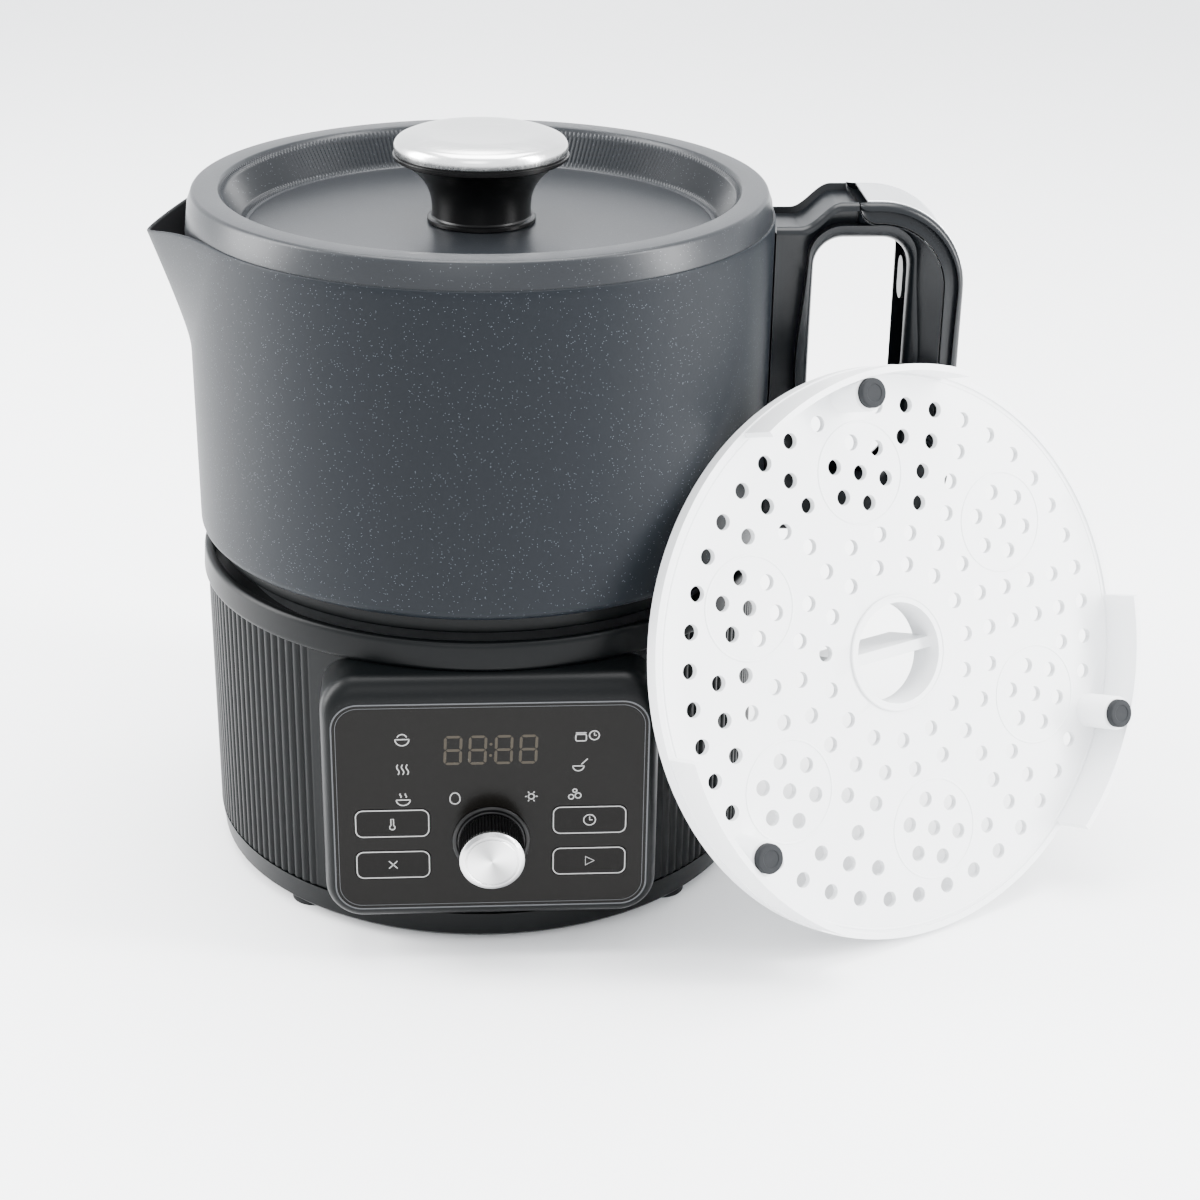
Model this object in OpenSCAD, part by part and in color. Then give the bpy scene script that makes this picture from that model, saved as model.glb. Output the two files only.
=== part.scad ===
// Egg cooker: a lift-off pot with a lid on a fluted base, and a steam and egg tray leaning on its handle.
// Origin on the axis of the pot at the height of the table. +X is the handle, -X the spout, -Y the panel.

/* [Pot] */
// Outside diameter of the pot
pot_d = 184; // [150:1:230]
// Height of the pot from its underside to its rim
pot_h = 101; // [70:1:150]
// Thickness of the pot's wall
pot_wall = 1.2; // [0.8:0.1:3]
// Thickness of the pot's floor
pot_floor = 2.4; // [1.5:0.1:5]
// Radius of the rounded edge under the pot
pot_edge_r = 3; // [1:0.5:6]
// How far the tip of the spout stands out from the pot
spout_out = 14; // [6:1:25]
// Height of the spout from its lowest point to the rim
spout_h = 45; // [25:1:65]
// How far the tip of the spout lies below the rim
spout_drop = 6.5; // [0:0.5:10]

/* [Base] */
// How far the flutes stand in from the side of the pot
shell_inset = 1; // [0:0.5:4]
// Wall of the fluted housing
shell_wall = 2.6; // [1.8:0.1:4]
// Number of flutes around the full circle
flute_count = 172; // [60:2:200]
// Depth of a flute
flute_depth = 0.9; // [0.3:0.1:1.4]
// Height of the rubber feet
foot_h = 3; // [2:0.5:8]
// Radius of a rubber foot
foot_r = 7.5; // [4:0.5:10]
// Height of the smooth skirt under the flutes
skirt_h = 9; // [6:1:20]
// Height of the fluted housing
shell_h = 85; // [70:1:120]
// Height of the smooth top ring
ring_h = 9; // [6:0.5:14]
// Gap between the top ring and the pot
pot_gap = 7; // [4:0.5:14]
// How far the edge of the heater plate stands in from the side of the pot
plate_inset = 10; // [9:0.5:14]
// Thickness of the heater plate
plate_t = 7; // [4:0.5:12]

/* [Panel] */
// Width of the bezel's border beside the glossy panel
bezel_side = 3.5; // [2:0.5:6]
// Height of the bezel's border above and below the glossy panel
bezel_border = 6.3; // [5:0.1:8]
// How far the front of the bezel stands out from the housing
bezel_out = 6; // [4:0.5:10]
// Width of the glossy panel
panel_w = 95; // [88:1:98]
// Thickness of the glossy panel
panel_t = 1.6; // [1:0.1:3]
// Width of a push button
button_w = 22.6; // [14:0.2:26]
// Height of a push button
button_h = 9.6; // [7:0.2:11]
// Distance from a button's outer edge to the edge of the panel
button_edge = 6.2; // [5:0.1:8]
// Distance between the two rows of buttons
button_pitch = 14.4; // [13:0.2:18]
// Travel of a push button
button_travel = 0.8; // [0.3:0.1:1.2]
// Diameter of the dial
dial_d = 20; // [14:0.5:22]
// How far the dial stands out from the panel
dial_len = 13; // [8:0.5:18]
// Width of the display window
display_w = 36; // [24:1:48]
// Height of the display window
display_h = 15; // [10:0.5:20]

/* [Lid] */
// Height of the lid's rim above the pot
lid_h = 8; // [5:0.5:14]
// Width of the flat band around the lid's rim
lid_band = 8.3; // [4:0.1:14]
// Width of the ribbed slope inside the rim
lid_slope = 8; // [4:0.5:14]
// Depth of the flat dish below the top of the lid's rim
dish_drop = 12; // [6:0.5:16]
// Thickness of the lid's shell
lid_t = 1.5; // [1:0.1:2.5]
// Diameter of the knob's metal cap
knob_d = 54; // [36:1:70]
// Diameter of the knob's foot
stem_d = 34; // [24:1:40]
// Height of the knob's stem
stem_h = 19.6; // [14:0.2:28]
// Height of the metal cap
cap_h = 6.5; // [4:0.5:10]

/* [Handle] */
// Thickness of the handle from side to side
handle_w = 29; // [20:1:40]
// How far the handle stands out from the pot
handle_out = 60; // [50:1:80]
// Thickness of the handle's post beside the pot
post_in = 12; // [10:1:18]
// Thickness of the handle's outer post
post_out = 18; // [14:1:24]
// Thickness of the handle's top arm
arm_top = 11.5; // [10:0.5:16]
// Thickness of the handle's bottom arm
arm_low = 16; // [12:0.5:20]
// Rise of the handle's top above the rim
handle_rise = 4.4; // [2:0.2:12]
// Thickness of the outer cover
cover_t = 6.5; // [5:0.5:8]

/* [Tray] */
// Gap between the edge of the tray and the inside of the pot
tray_gap = 0.3; // [0.2:0.1:6]
// Thickness of the tray's plate
tray_t = 2.2; // [1.5:0.1:4]
// Height of the tray's rim
tray_rim = 4; // [3:0.5:6]
// Height of the three skirt walls
tray_wall_h = 14; // [8:1:20]
// Diameter of a steam hole
tray_hole_d = 5; // [3:0.25:6]
// Radius of the ring around an egg seat
seat_r = 16; // [14:0.5:18]
// Radius of the grip tube in the middle of the tray
grip_r = 18; // [14:0.5:20]
// How far the tray leans back from upright, in degrees
tray_lean = 19.3; // [12:0.1:26]
// How far the tray's plane passes inside the pot's side, at the height where it touches the handle
tray_near = 6.2; // [2:0.2:7]
// Sideways distance from the tray's middle to where it touches the handle
touch_side = 42.5; // [30:0.5:60]

/* [Clearance] */
// Gap around a part that slides or turns
run_gap = 0.25; // [0.15:0.05:0.5]
// Gap between the lid's seal and the pot
seal_gap = 0.3; // [0.2:0.05:0.6]
// Gap where the leaning tray comes closest to the handle
touch_gap = 0.6; // [0.3:0.1:1]
// Gap between the tray's posts and their feet
seat_gap = 0.05; // [0.02:0.01:0.2]

/* [Hidden] */
$fn = 96;
pot_r = pot_d / 2;
pot_in_r = pot_r - pot_wall;
shell_r = pot_r - shell_inset;
strip_r = shell_r - flute_depth / 2;
shell_in_r = shell_r - flute_depth - shell_wall;
skirt_z = foot_h;
shell_z = skirt_z + skirt_h;
ring_z = shell_z + shell_h;
base_top = ring_z + ring_h;
pot_z = base_top + pot_gap;
rim_z = pot_z + pot_h;

// Top ring, well and heater
ring_r = pot_r;
ring_edge = 1.6;
well_r = ring_r - 3.4;
well_z = ring_z + 2.2;
plate_r = pot_r - plate_inset;
plate_top = pot_z - 0.1;
plate_z = plate_top - plate_t;
collar_r = plate_r - 3;
collar_t = 3;
well_hole_r = collar_r - collar_t - 10;
element_r = plate_r - 27;
element_tube_r = 3.5;
sensor_r = 12;
locate_h = 6;
locate_t = 3.2;
locate_in_r = plate_r + 1.2;

// Panel: the middle of the glossy panel and the planes behind it
bezel_low = shell_z + 2.4;
bezel_h = ring_z - bezel_low;
bezel_w = panel_w + 2 * bezel_side;
panel_h = bezel_h - 2 * bezel_border;
panel_z = bezel_low + bezel_h / 2 - 1.7;
front_y = -(shell_r + bezel_out);
panel_back_y = front_y + panel_t;
bezel_back_y = panel_back_y + 4.4;
bezel_r = 12;
panel_r = 8;
bezel_slope = 8;
window_w = panel_w - 3;
window_h = panel_h - 2;
pocket_w = window_w - 6;
button_r = 2.4;
button_x = panel_w / 2 - button_edge - button_w / 2;
button_mid_z = panel_z - 12.4;
dial_z = panel_z - 11.8;
display_z = panel_z + 19.5;
board_y = bezel_back_y + 6;
board_t = 1.6;
boss_r = 3;
boss_x = panel_w / 2 - 6.5;
boss_low_x = 10;
boss_dz = panel_h / 2 - 4.4;
BOSSES = [[-boss_x, boss_dz], [boss_x, boss_dz], [-boss_low_x, -boss_dz], [boss_low_x, -boss_dz]];
shaft_r = 3;
bushing_r = 4.6;
dial_ring_t = 1;
dial_gap = 0.4;
dial_teeth = 40;
dial_face_t = 1.4;
BUTTONS = [[-1, 1], [-1, -1], [1, 1], [1, -1]];

// Mains inlet at the back
inlet_w = 31;
inlet_h = 24;
inlet_z = shell_z + 22;
inlet_depth = 24;
inlet_flange = 3;
socket_w = 24;
socket_h = 17;
socket_depth = 16;
pin_h = 8;

// Bottom screws stand between the feet
foot_at = shell_r - foot_r - 3.5;
screw_boss_r = 5;
screw_at = shell_in_r - screw_boss_r - 1.5;
shell_lip = 2 * screw_boss_r + 3;
shell_lip_t = 2;
screw_r = 1.5;
screw_head_r = 2.8;
cover_floor = 2.4;
SCREW_ANGLES = [20, 160, 200, 340];

// Lid: the dish is below the rim, inside the ribbed slope
lid_z = rim_z + 0.4;
lid_top = rim_z + lid_h;
lid_taper = 2.2;
dish_z = lid_top - dish_drop;
lid_band_r = pot_r - lid_taper - lid_band;
dish_r = lid_band_r - lid_slope;
lid_plate_r = pot_in_r - 4.8;
lid_plate_t = 1.2;
knob_head_t = 2;
lid_plate_z = dish_z - lid_t - knob_head_t - 0.3 - lid_plate_t;
seal_z = rim_z - 5;
seal_h = 4.4;
stem_z = dish_z;
stem_neck_r = stem_d / 2 - 1.6;
knob_r = knob_d / 2;
flange_t = 2;
flange_z = stem_z + stem_h;
cap_z = flange_z + flange_t;
knob_screw_r = 2.5;
knob_screw_depth = stem_h * 0.56;

// Handle: a closed loop in the plane of X and Z
handle_x0 = pot_r - 6;
handle_x1 = pot_r + handle_out;
handle_top = rim_z + handle_rise;
handle_low = pot_z - 4;
handle_clear = 0.5;
bracket_top = rim_z - 3.3;
bracket_x = pot_r + 7;
rise_x = pot_r + 20;
handle_corner = 28;
handle_corner_low = 20;
gap_x0 = pot_r + post_in;
gap_x1 = handle_x1 - post_out;
gap_z0 = handle_low + arm_low;
gap_z1 = handle_top - arm_top;
gap_r = 9;
seam_x = pot_r + 25;
cover_low = handle_low + handle_corner_low + 6;
inlay_t = 1;
inlay_w = handle_w - 6;
inlay_low = handle_top - handle_corner - 16;
mount_w = 18;
mount_x1 = pot_r + 4;
mount_z0 = pot_z + 8;
mount_z1 = bracket_top - 8;
plug_w = 8;
plug_h = 14;
plug_t = 1.2;
handle_screw_r = 2;
handle_head_r = 3.6;
HANDLE_SCREW_Z = [gap_z0 + 16, gap_z1 - 16];

// Tray: its frame has the plate in the XY plane and the feet below
tray_r = pot_in_r - tray_gap;
tray_wall_t = 2;
tray_wall_inset = 0.4;
tray_post_r = 5.6;
tray_foot_r = 4.6;
tray_post_at = tray_r - tray_wall_inset - tray_wall_t - 0.2 - tray_foot_r;
tray_foot_h = 2.4;
tray_first_post = 26;
tray_wall_half = 26;
grip_wall = 2;
grip_h = 12;
grip_bar_w = 3.5;
grip_bar_h = 26;
seat_at = tray_r - seat_r - 16;
seat_rib = 1.2;
seat_hole_at = seat_r - 6;
SEAT_ANGLES = [for (i = [0:5]) tray_first_post + 60 * i];
POST_ANGLES = [for (i = [0:2]) tray_first_post + 120 * i];
hole_pitch = 11.4;
HOLE_RINGS = [for (r = [grip_r + 10:10:tray_r - 12]) r];

// The rim's back edge touches the handle's front outer edge
touch_up = sqrt(tray_r * tray_r - touch_side * touch_side);
tray_touch = [handle_x1, -handle_w / 2 - touch_gap];
tray_turn = asin((pot_r - tray_near) / norm(tray_touch)) + atan(tray_touch[1] / tray_touch[0]);
tray_side = [cos(tray_turn), sin(tray_turn)];
tray_out = [sin(tray_turn), -cos(tray_turn)];
tray_stand_off =
    (tray_rim + (touch_up * cos(tray_lean) - tray_rim * sin(tray_lean)) * sin(tray_lean)) / cos(tray_lean);
tray_mid_xy = tray_touch - touch_side * tray_side + tray_stand_off * tray_out;
tray_mid = [tray_mid_xy[0], tray_mid_xy[1], tray_r * cos(tray_lean) + tray_rim * sin(tray_lean)];

// ---- Shared shapes ----

function arc(x, y, r, a0, a1, n) =
    [for (i = [0:n]) [x + r * cos(a0 + (a1 - a0) * i / n), y + r * sin(a0 + (a1 - a0) * i / n)]];

module ring(r_out, r_in, z, h) {
    translate([0, 0, z]) difference() {
        cylinder(r = r_out, h = h);
        translate([0, 0, -1]) cylinder(r = r_in, h = h + 2);
    }
}

module rounded(w, h, r) {
    square([w - 2 * r, h], center = true);
    square([w, h - 2 * r], center = true);
    for (sx = [-1, 1], sy = [-1, 1])
        translate([sx * (w / 2 - r), sy * (h / 2 - r)]) circle(r = r);
}

// A flat outline stood up in the XZ plane, from y0 to y1
module upright(y0, y1) {
    translate([0, y1, 0]) rotate([90, 0, 0]) linear_extrude(height = y1 - y0) children();
}

module rod_y(r, y0, y1) {
    translate([0, y1, 0]) rotate([90, 0, 0]) cylinder(r = r, h = y1 - y0);
}

module rod_x(r, x0, x1) {
    translate([x0, 0, 0]) rotate([0, 90, 0]) cylinder(r = r, h = x1 - x0);
}

// ---- Base ----

// The flutes stop at a plain strip on each side of the bezel
function strip_half() = asin((bezel_w / 2 + 5) / shell_r);
function is_plain(a) = abs(a - 270) < strip_half();
function flute_r(a, low) = is_plain(a) ? strip_r : shell_r - (low ? flute_depth : 0);

module flute_outline() {
    step = 360 / flute_count;
    polygon([
        for (i = [0:flute_count - 1]) each [
            flute_r(i * step, true) * [cos(i * step), sin(i * step)],
            flute_r(i * step, false) * [cos((i + 0.7) * step), sin((i + 0.7) * step)]
        ]
    ]);
}

module base_shell() {
    color("#1d2022") difference() {
        union() {
            translate([0, 0, shell_z]) linear_extrude(height = shell_h) difference() {
                flute_outline();
                circle(r = shell_in_r, $fn = 240);
            }
            ring(shell_in_r + 0.5, shell_in_r - shell_lip, shell_z, shell_lip_t);
            for (a = SCREW_ANGLES)
                rotate([0, 0, a]) translate([screw_at, 0, shell_z]) cylinder(r = screw_boss_r, h = 14);
        }
        for (a = SCREW_ANGLES)
            rotate([0, 0, a]) translate([screw_at, 0, shell_z - 1]) cylinder(r = screw_r, h = 11);
        translate([0, 0, panel_z]) upright(-shell_r - 5, -shell_in_r * 0.7)
            square([window_w, window_h], center = true);
        translate([0, 0, inlet_z]) upright(shell_in_r * 0.8, shell_r + 5)
            square([inlet_w, inlet_h], center = true);
    }
}

module top_ring() {
    color("#16191b") rotate_extrude() polygon(concat(
        [[well_hole_r, ring_z], [ring_r, ring_z]],
        arc(ring_r - 0.5 - ring_edge, base_top - ring_edge, ring_edge, 0, 90, 5),
        arc(well_r + 1, base_top - 1, 1, 90, 180, 4),
        [[well_r, well_z], [well_hole_r, well_z]]
    ));
}

module bottom_cover() {
    color("#17191b") difference() {
        union() {
            rotate_extrude() polygon([
                [0, skirt_z], [shell_r - 2.4, skirt_z], [shell_r - 1.2, skirt_z + 1.2],
                [shell_r - 0.2, shell_z], [shell_in_r, shell_z],
                [shell_in_r, skirt_z + cover_floor], [0, skirt_z + cover_floor]
            ]);
            for (a = SCREW_ANGLES) rotate([0, 0, a])
                translate([screw_at, 0, skirt_z + cover_floor / 2])
                    cylinder(r = screw_boss_r, h = skirt_h - cover_floor / 2);
        }
        for (a = SCREW_ANGLES) rotate([0, 0, a])
            translate([screw_at, 0, skirt_z - 1]) cylinder(r = screw_r, h = skirt_h + 2);
    }
}

module base_feet() {
    color("#101112") for (a = [45:90:315])
        rotate([0, 0, a]) translate([foot_at, 0, 0]) cylinder(r = foot_r, h = foot_h);
}

module bottom_screws() {
    color("#8d9093") for (a = SCREW_ANGLES) rotate([0, 0, a]) translate([screw_at, 0, 0]) {
        translate([0, 0, skirt_z - 1.6]) cylinder(r = screw_head_r, h = 1.6);
        translate([0, 0, skirt_z]) cylinder(r = screw_r, h = skirt_h + 6);
    }
}

module heater_plate() {
    color("#3a3c3e") difference() {
        translate([0, 0, plate_z]) rotate_extrude() polygon([
            [sensor_r + run_gap * 2, 0], [plate_r, 0], [plate_r, plate_t - 1],
            [plate_r - 1, plate_t], [sensor_r + run_gap * 2, plate_t]
        ]);
        translate([0, 0, plate_z]) rotate_extrude() translate([element_r, 0]) circle(r = element_tube_r);
    }
}

module heater_collar() {
    color("#2a2c2e") ring(collar_r, collar_r - collar_t, well_z, plate_z - well_z);
}

module heating_element() {
    color("#6d6f70") {
        translate([0, 0, plate_z]) rotate_extrude() translate([element_r, 0]) circle(r = element_tube_r);
        for (s = [-1, 1])
            translate([element_r, s * 8, plate_z - 22]) cylinder(r = 2, h = 20);
    }
}

module temperature_sensor() {
    color("#b9bcbe") {
        translate([0, 0, plate_top - 1.4]) cylinder(r = sensor_r, h = 1.2);
        translate([0, 0, plate_z - 8]) cylinder(r = sensor_r - 4, h = plate_t + 7);
        translate([0, 0, plate_z - 12]) cylinder(r = sensor_r + 4, h = 4);
    }
}

module power_board() {
    board_z = skirt_z + cover_floor + 6;
    color("#1f4d33") {
        translate([-35, -20, board_z]) cube([70, 44, 1.6]);
        for (x = [-31, 31], y = [-16, 20])
            translate([x, y, skirt_z + cover_floor]) cylinder(r = 2.5, h = 6);
        translate([-26, -12, board_z + 1.6]) cube([26, 24, 18]);
        translate([10, -12, board_z + 1.6]) cube([16, 20, 15]);
        translate([6, 14, board_z + 1.6]) cylinder(r = 4, h = 14);
    }
}

module power_inlet() {
    back_y = shell_r + 1.5;
    color("#121314") {
        difference() {
            union() {
                translate([0, 0, inlet_z]) upright(back_y - inlet_flange, back_y)
                    square([inlet_w - 0.4, inlet_h - 0.4], center = true);
                translate([0, 0, inlet_z]) upright(back_y - inlet_depth, back_y)
                    square([socket_w + 4, socket_h + 4], center = true);
            }
            translate([0, 0, inlet_z]) upright(back_y - socket_depth, back_y + 1)
                square([socket_w, socket_h], center = true);
        }
        for (x = [-7, 0, 7])
            translate([x - 1, back_y - socket_depth, inlet_z - 2 + (x == 0 ? 2.5 : -1)]) cube([2, pin_h, 4]);
    }
}

// ---- Control panel ----

module bezel_outline() {
    translate([0, bezel_low + bezel_h / 2]) rounded(bezel_w, bezel_h, bezel_r);
}

module button_outline(grow) {
    rounded(button_w + 2 * grow, button_h + 2 * grow, button_r + grow);
}

module at_button(b) {
    translate([b[0] * button_x, 0, button_mid_z + b[1] * button_pitch / 2]) children();
}

// Slanted cut over the top of the bezel, from the housing down to the front
module bezel_slope_cut() {
    translate([-bezel_w, 0, ring_z]) rotate([90, 0, 90]) linear_extrude(height = 2 * bezel_w)
        polygon([[-shell_r, 0], [front_y - 1, -bezel_slope], [front_y - 1, 5], [-shell_r, 5]]);
}

// Posts from the back of the bezel's front wall to the board
module board_bosses() {
    for (b = BOSSES) translate([b[0], 0, b[1]]) rod_y(boss_r, bezel_back_y - 1, board_y);
}

module panel_bezel() {
    color("#131517") difference() {
        union() {
            difference() {
                upright(front_y, -shell_r * 0.7) bezel_outline();
                cylinder(r = strip_r, h = ring_z + 1);
                bezel_slope_cut();
            }
            translate([0, 0, panel_z]) board_bosses();
        }
        // Pocket for the panel, and the room behind the front wall
        translate([0, 0, panel_z]) upright(front_y - 1, panel_back_y) rounded(panel_w, panel_h, panel_r);
        translate([0, 0, panel_z]) difference() {
            upright(bezel_back_y, -shell_r * 0.6) square([pocket_w, window_h - 2], center = true);
            board_bosses();
        }
        for (b = BUTTONS) at_button(b) upright(front_y - 1, 0) button_outline(run_gap);
        translate([0, 0, display_z]) upright(front_y - 1, 0) square([display_w, display_h], center = true);
        translate([0, 0, dial_z]) rod_y(bushing_r, front_y - 1, 0);
    }
}

module panel_plate() {
    color("#1b1917") difference() {
        translate([0, 0, panel_z]) upright(front_y, panel_back_y) rounded(panel_w, panel_h, panel_r);
        for (b = BUTTONS) at_button(b) upright(front_y - 1, panel_back_y + 1) button_outline(run_gap);
        translate([0, 0, dial_z]) rod_y(bushing_r, front_y - 1, panel_back_y + 1);
    }
}

module control_board() {
    color("#1f4d33") {
        difference() {
            translate([0, 0, panel_z]) upright(board_y, board_y + board_t)
                square([pocket_w - 2, window_h - 2], center = true);
            translate([0, 0, dial_z]) rod_y(1.2, board_y - 1, board_y + board_t + 1);
        }
        for (b = BUTTONS) at_button(b) upright(board_y - 2.6, board_y) square([6, 6], center = true);
    }
}

module display_module() {
    color("#0e0d0c") translate([0, 0, display_z]) upright(panel_back_y, board_y)
        square([display_w - 1, display_h - 1], center = true);
}

module encoder() {
    color("#77797b") difference() {
        translate([0, 0, dial_z]) {
            upright(board_y - 5, board_y) square([12, 12], center = true);
            rod_y(bushing_r, front_y - 0.6, board_y - 5);
        }
        translate([0, 0, dial_z]) rod_y(shaft_r + 0.1, front_y - 2, board_y - 1);
    }
}

module dial_ring() {
    color("#0c0d0e") translate([0, front_y, dial_z]) rotate([90, 0, 0])
        ring(dial_d / 2 + 1.9, dial_d / 2 - 3, 0, dial_ring_t);
}

module dial_shaft() {
    color("#a4a7a9") translate([0, 0, dial_z]) rod_y(shaft_r, front_y - dial_len + 3, board_y - 1.5);
}

module dial_outline() {
    step = 360 / dial_teeth;
    polygon([
        for (i = [0:dial_teeth - 1]) each [
            dial_d / 2 * [cos(i * step), sin(i * step)],
            (dial_d / 2 - 0.5) * [cos((i + 0.5) * step), sin((i + 0.5) * step)]
        ]
    ]);
}

module dial_body() {
    y0 = front_y - dial_len + dial_face_t;
    y1 = front_y - dial_ring_t - dial_gap;
    color("#0e0f10") translate([0, 0, dial_z]) difference() {
        upright(y0, y1) dial_outline();
        rod_y(shaft_r, front_y - dial_len + 3, y1 + 1);
    }
}

module dial_face() {
    y = front_y - dial_len + dial_face_t;
    color("#c9cbcc") translate([0, y, dial_z]) rotate([90, 0, 0]) rotate_extrude() polygon([
        [0, 0], [dial_d / 2 - 0.2, 0], [dial_d / 2 - 0.2, dial_face_t - 0.9],
        [dial_d / 2 - 1.1, dial_face_t], [0, dial_face_t]
    ]);
}

module button(b) {
    color("#1b1917") at_button(b) {
        upright(front_y - 0.1, board_y - 2.6 - button_travel - 1.2) button_outline(0);
        rod_y(2, board_y - 4.8, board_y - 2.6 - button_travel - 0.2);
    }
}

module button_upper_left() { button(BUTTONS[0]); }
module button_lower_left() { button(BUTTONS[1]); }
module button_upper_right() { button(BUTTONS[2]); }
module button_lower_right() { button(BUTTONS[3]); }

// ---- Pot ----

// Round posts whose hull is the spout; inset moves every face inwards by a wall
module spout_body(inset, top) {
    tip_r = pot_r + spout_out - inset;
    half = acos((pot_r - inset) / tip_r);
    hull() {
        translate([-tip_r + 2, 0, rim_z - spout_drop - 2 - inset])
            cylinder(r = 2, h = 2 + inset + top, $fn = 24);
        for (s = [-1, 1]) rotate([0, 0, 180 + s * half])
            translate([pot_r - inset - 1, 0, rim_z - 3]) cylinder(r = 1, h = 3 + top, $fn = 24);
        rotate([0, 0, 180]) translate([pot_r - inset - 3, 0, rim_z - spout_h + 2 * inset])
            cylinder(r = 3, h = 1, $fn = 24);
    }
}

module pot_shell() {
    color("#474c55") difference() {
        union() {
            rotate_extrude() polygon(concat(
                [[0, pot_z]],
                arc(pot_r - pot_edge_r, pot_z + pot_edge_r, pot_edge_r, -90, 0, 6),
                [[pot_r, rim_z], [0, rim_z]]
            ));
            spout_body(0, 0);
        }
        rotate_extrude() polygon(concat(
            [[0, pot_z + pot_floor]],
            arc(pot_in_r - pot_edge_r, pot_z + pot_floor + pot_edge_r, pot_edge_r, -90, 0, 6),
            [[pot_in_r, rim_z + 1], [0, rim_z + 1]]
        ));
        spout_body(pot_wall, 4);
    }
}

module pot_locating_ring() {
    color("#141516") ring(locate_in_r + locate_t, locate_in_r, pot_z - locate_h, locate_h);
}

// The loop's outer edge, moved inwards by t, from the rise over the top and down to the lower arm
function rise_points(n) = [for (i = [0:n]) [
    bracket_x + (rise_x - bracket_x) * i / n,
    bracket_top + (handle_top - bracket_top) * (1 - cos(180 * i / n)) / 2
]];
function outer_points(t) = concat(
    arc(handle_x1 - handle_corner, handle_top - handle_corner, handle_corner - t, 90, 0, 12),
    arc(handle_x1 - handle_corner_low, handle_low + handle_corner_low, handle_corner_low - t, 0, -90, 10)
);

module loop_outline() {
    difference() {
        polygon(concat(
            [[handle_x0, handle_low], [handle_x0, bracket_top]],
            rise_points(8),
            outer_points(0)
        ));
        translate([(gap_x0 + gap_x1) / 2, (gap_z0 + gap_z1) / 2])
            rounded(gap_x1 - gap_x0, gap_z1 - gap_z0, gap_r);
    }
}

// The band along the loop's outer edge, t deep, right of x and above z
module outer_band(t, x, z) {
    difference() {
        translate([x, z]) square([handle_x1 - x + 1, handle_top - z + 1]);
        polygon(concat(
            [[x - 1, handle_low], [x - 1, handle_top - t]],
            outer_points(t)
        ));
    }
}

module screw_holes() {
    for (z = HANDLE_SCREW_Z) translate([0, 0, z]) {
        rod_x(handle_screw_r, mount_x1 - 1, gap_x1 + 12);
        rod_x(handle_head_r, gap_x0 - 5, gap_x0 + 1);
        rod_x(handle_head_r, gap_x1 - 1, gap_x1 + 5);
        for (x = [gap_x0 - plug_t, gap_x1 - 1])
            translate([x, 0, 0]) rotate([90, 0, 90]) linear_extrude(height = plug_t + 1)
                rounded(plug_w, plug_h, plug_w / 2 - 0.01);
    }
}

module handle_frame() {
    color("#23272c") difference() {
        upright(-handle_w / 2, handle_w / 2) difference() {
            loop_outline();
            outer_band(cover_t, seam_x, cover_low);
        }
        translate([0, 0, handle_low - 1]) cylinder(r = pot_r + handle_clear, h = handle_top);
        translate([pot_r - 5, -mount_w / 2, mount_z0]) cube([mount_x1 - pot_r + 5, mount_w, mount_z1 - mount_z0]);
        screw_holes();
    }
}

module handle_cover() {
    color("#2b3036") difference() {
        upright(-handle_w / 2, handle_w / 2) intersection() {
            loop_outline();
            outer_band(cover_t, seam_x, cover_low);
        }
        upright(-inlay_w / 2, inlay_w / 2) inlay_band();
        for (z = HANDLE_SCREW_Z) translate([0, 0, z]) rod_x(handle_screw_r, gap_x1, gap_x1 + 15);
    }
}

module inlay_band() {
    intersection() {
        loop_outline();
        outer_band(inlay_t, seam_x + 3, inlay_low);
    }
}

module handle_inlay() {
    color("#d9dbdc") upright(-inlay_w / 2, inlay_w / 2) inlay_band();
}

module handle_mount() {
    color("#8b8e90") difference() {
        translate([pot_r - 5, -mount_w / 2, mount_z0]) cube([mount_x1 - pot_r + 5, mount_w, mount_z1 - mount_z0]);
        translate([0, 0, pot_z]) cylinder(r = pot_r, h = pot_h);
        for (z = HANDLE_SCREW_Z) translate([0, 0, z]) rod_x(handle_screw_r, pot_r - 10, mount_x1 + 1);
    }
}

module handle_screws() {
    color("#8d9093") for (z = HANDLE_SCREW_Z) translate([0, 0, z]) {
        rod_x(handle_screw_r, pot_r + 1, gap_x0 - 4);
        rod_x(handle_head_r, gap_x0 - 4.5, gap_x0 - 2);
        rod_x(handle_screw_r, gap_x1 + 4, gap_x1 + 12);
        rod_x(handle_head_r, gap_x1 + 2, gap_x1 + 4.5);
    }
}

module handle_plugs() {
    color("#1b1e22") for (z = HANDLE_SCREW_Z, x = [gap_x0 - plug_t, gap_x1])
        translate([x, 0, z]) rotate([90, 0, 90]) linear_extrude(height = plug_t)
            rounded(plug_w - 0.2, plug_h - 0.2, plug_w / 2 - 0.11);
}

// ---- Lid ----

module lid_shell() {
    edge = 1.4;
    color("#6b6d72") rotate_extrude() polygon(concat(
        [[knob_screw_r, dish_z], [dish_r, dish_z], [lid_band_r, lid_top - 0.4], [lid_band_r + 0.6, lid_top]],
        arc(pot_r - lid_taper - edge, lid_top - edge, edge, 90, 10, 4),
        [[pot_r, lid_z + 1], [pot_r - 0.4, lid_z], [pot_r - lid_t, lid_z],
         [pot_r - lid_taper - lid_t, lid_top - edge - lid_t], [lid_band_r + 1, lid_top - edge - lid_t],
         [dish_r + 0.8, dish_z - lid_t], [knob_screw_r, dish_z - lid_t]]
    ));
}

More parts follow.
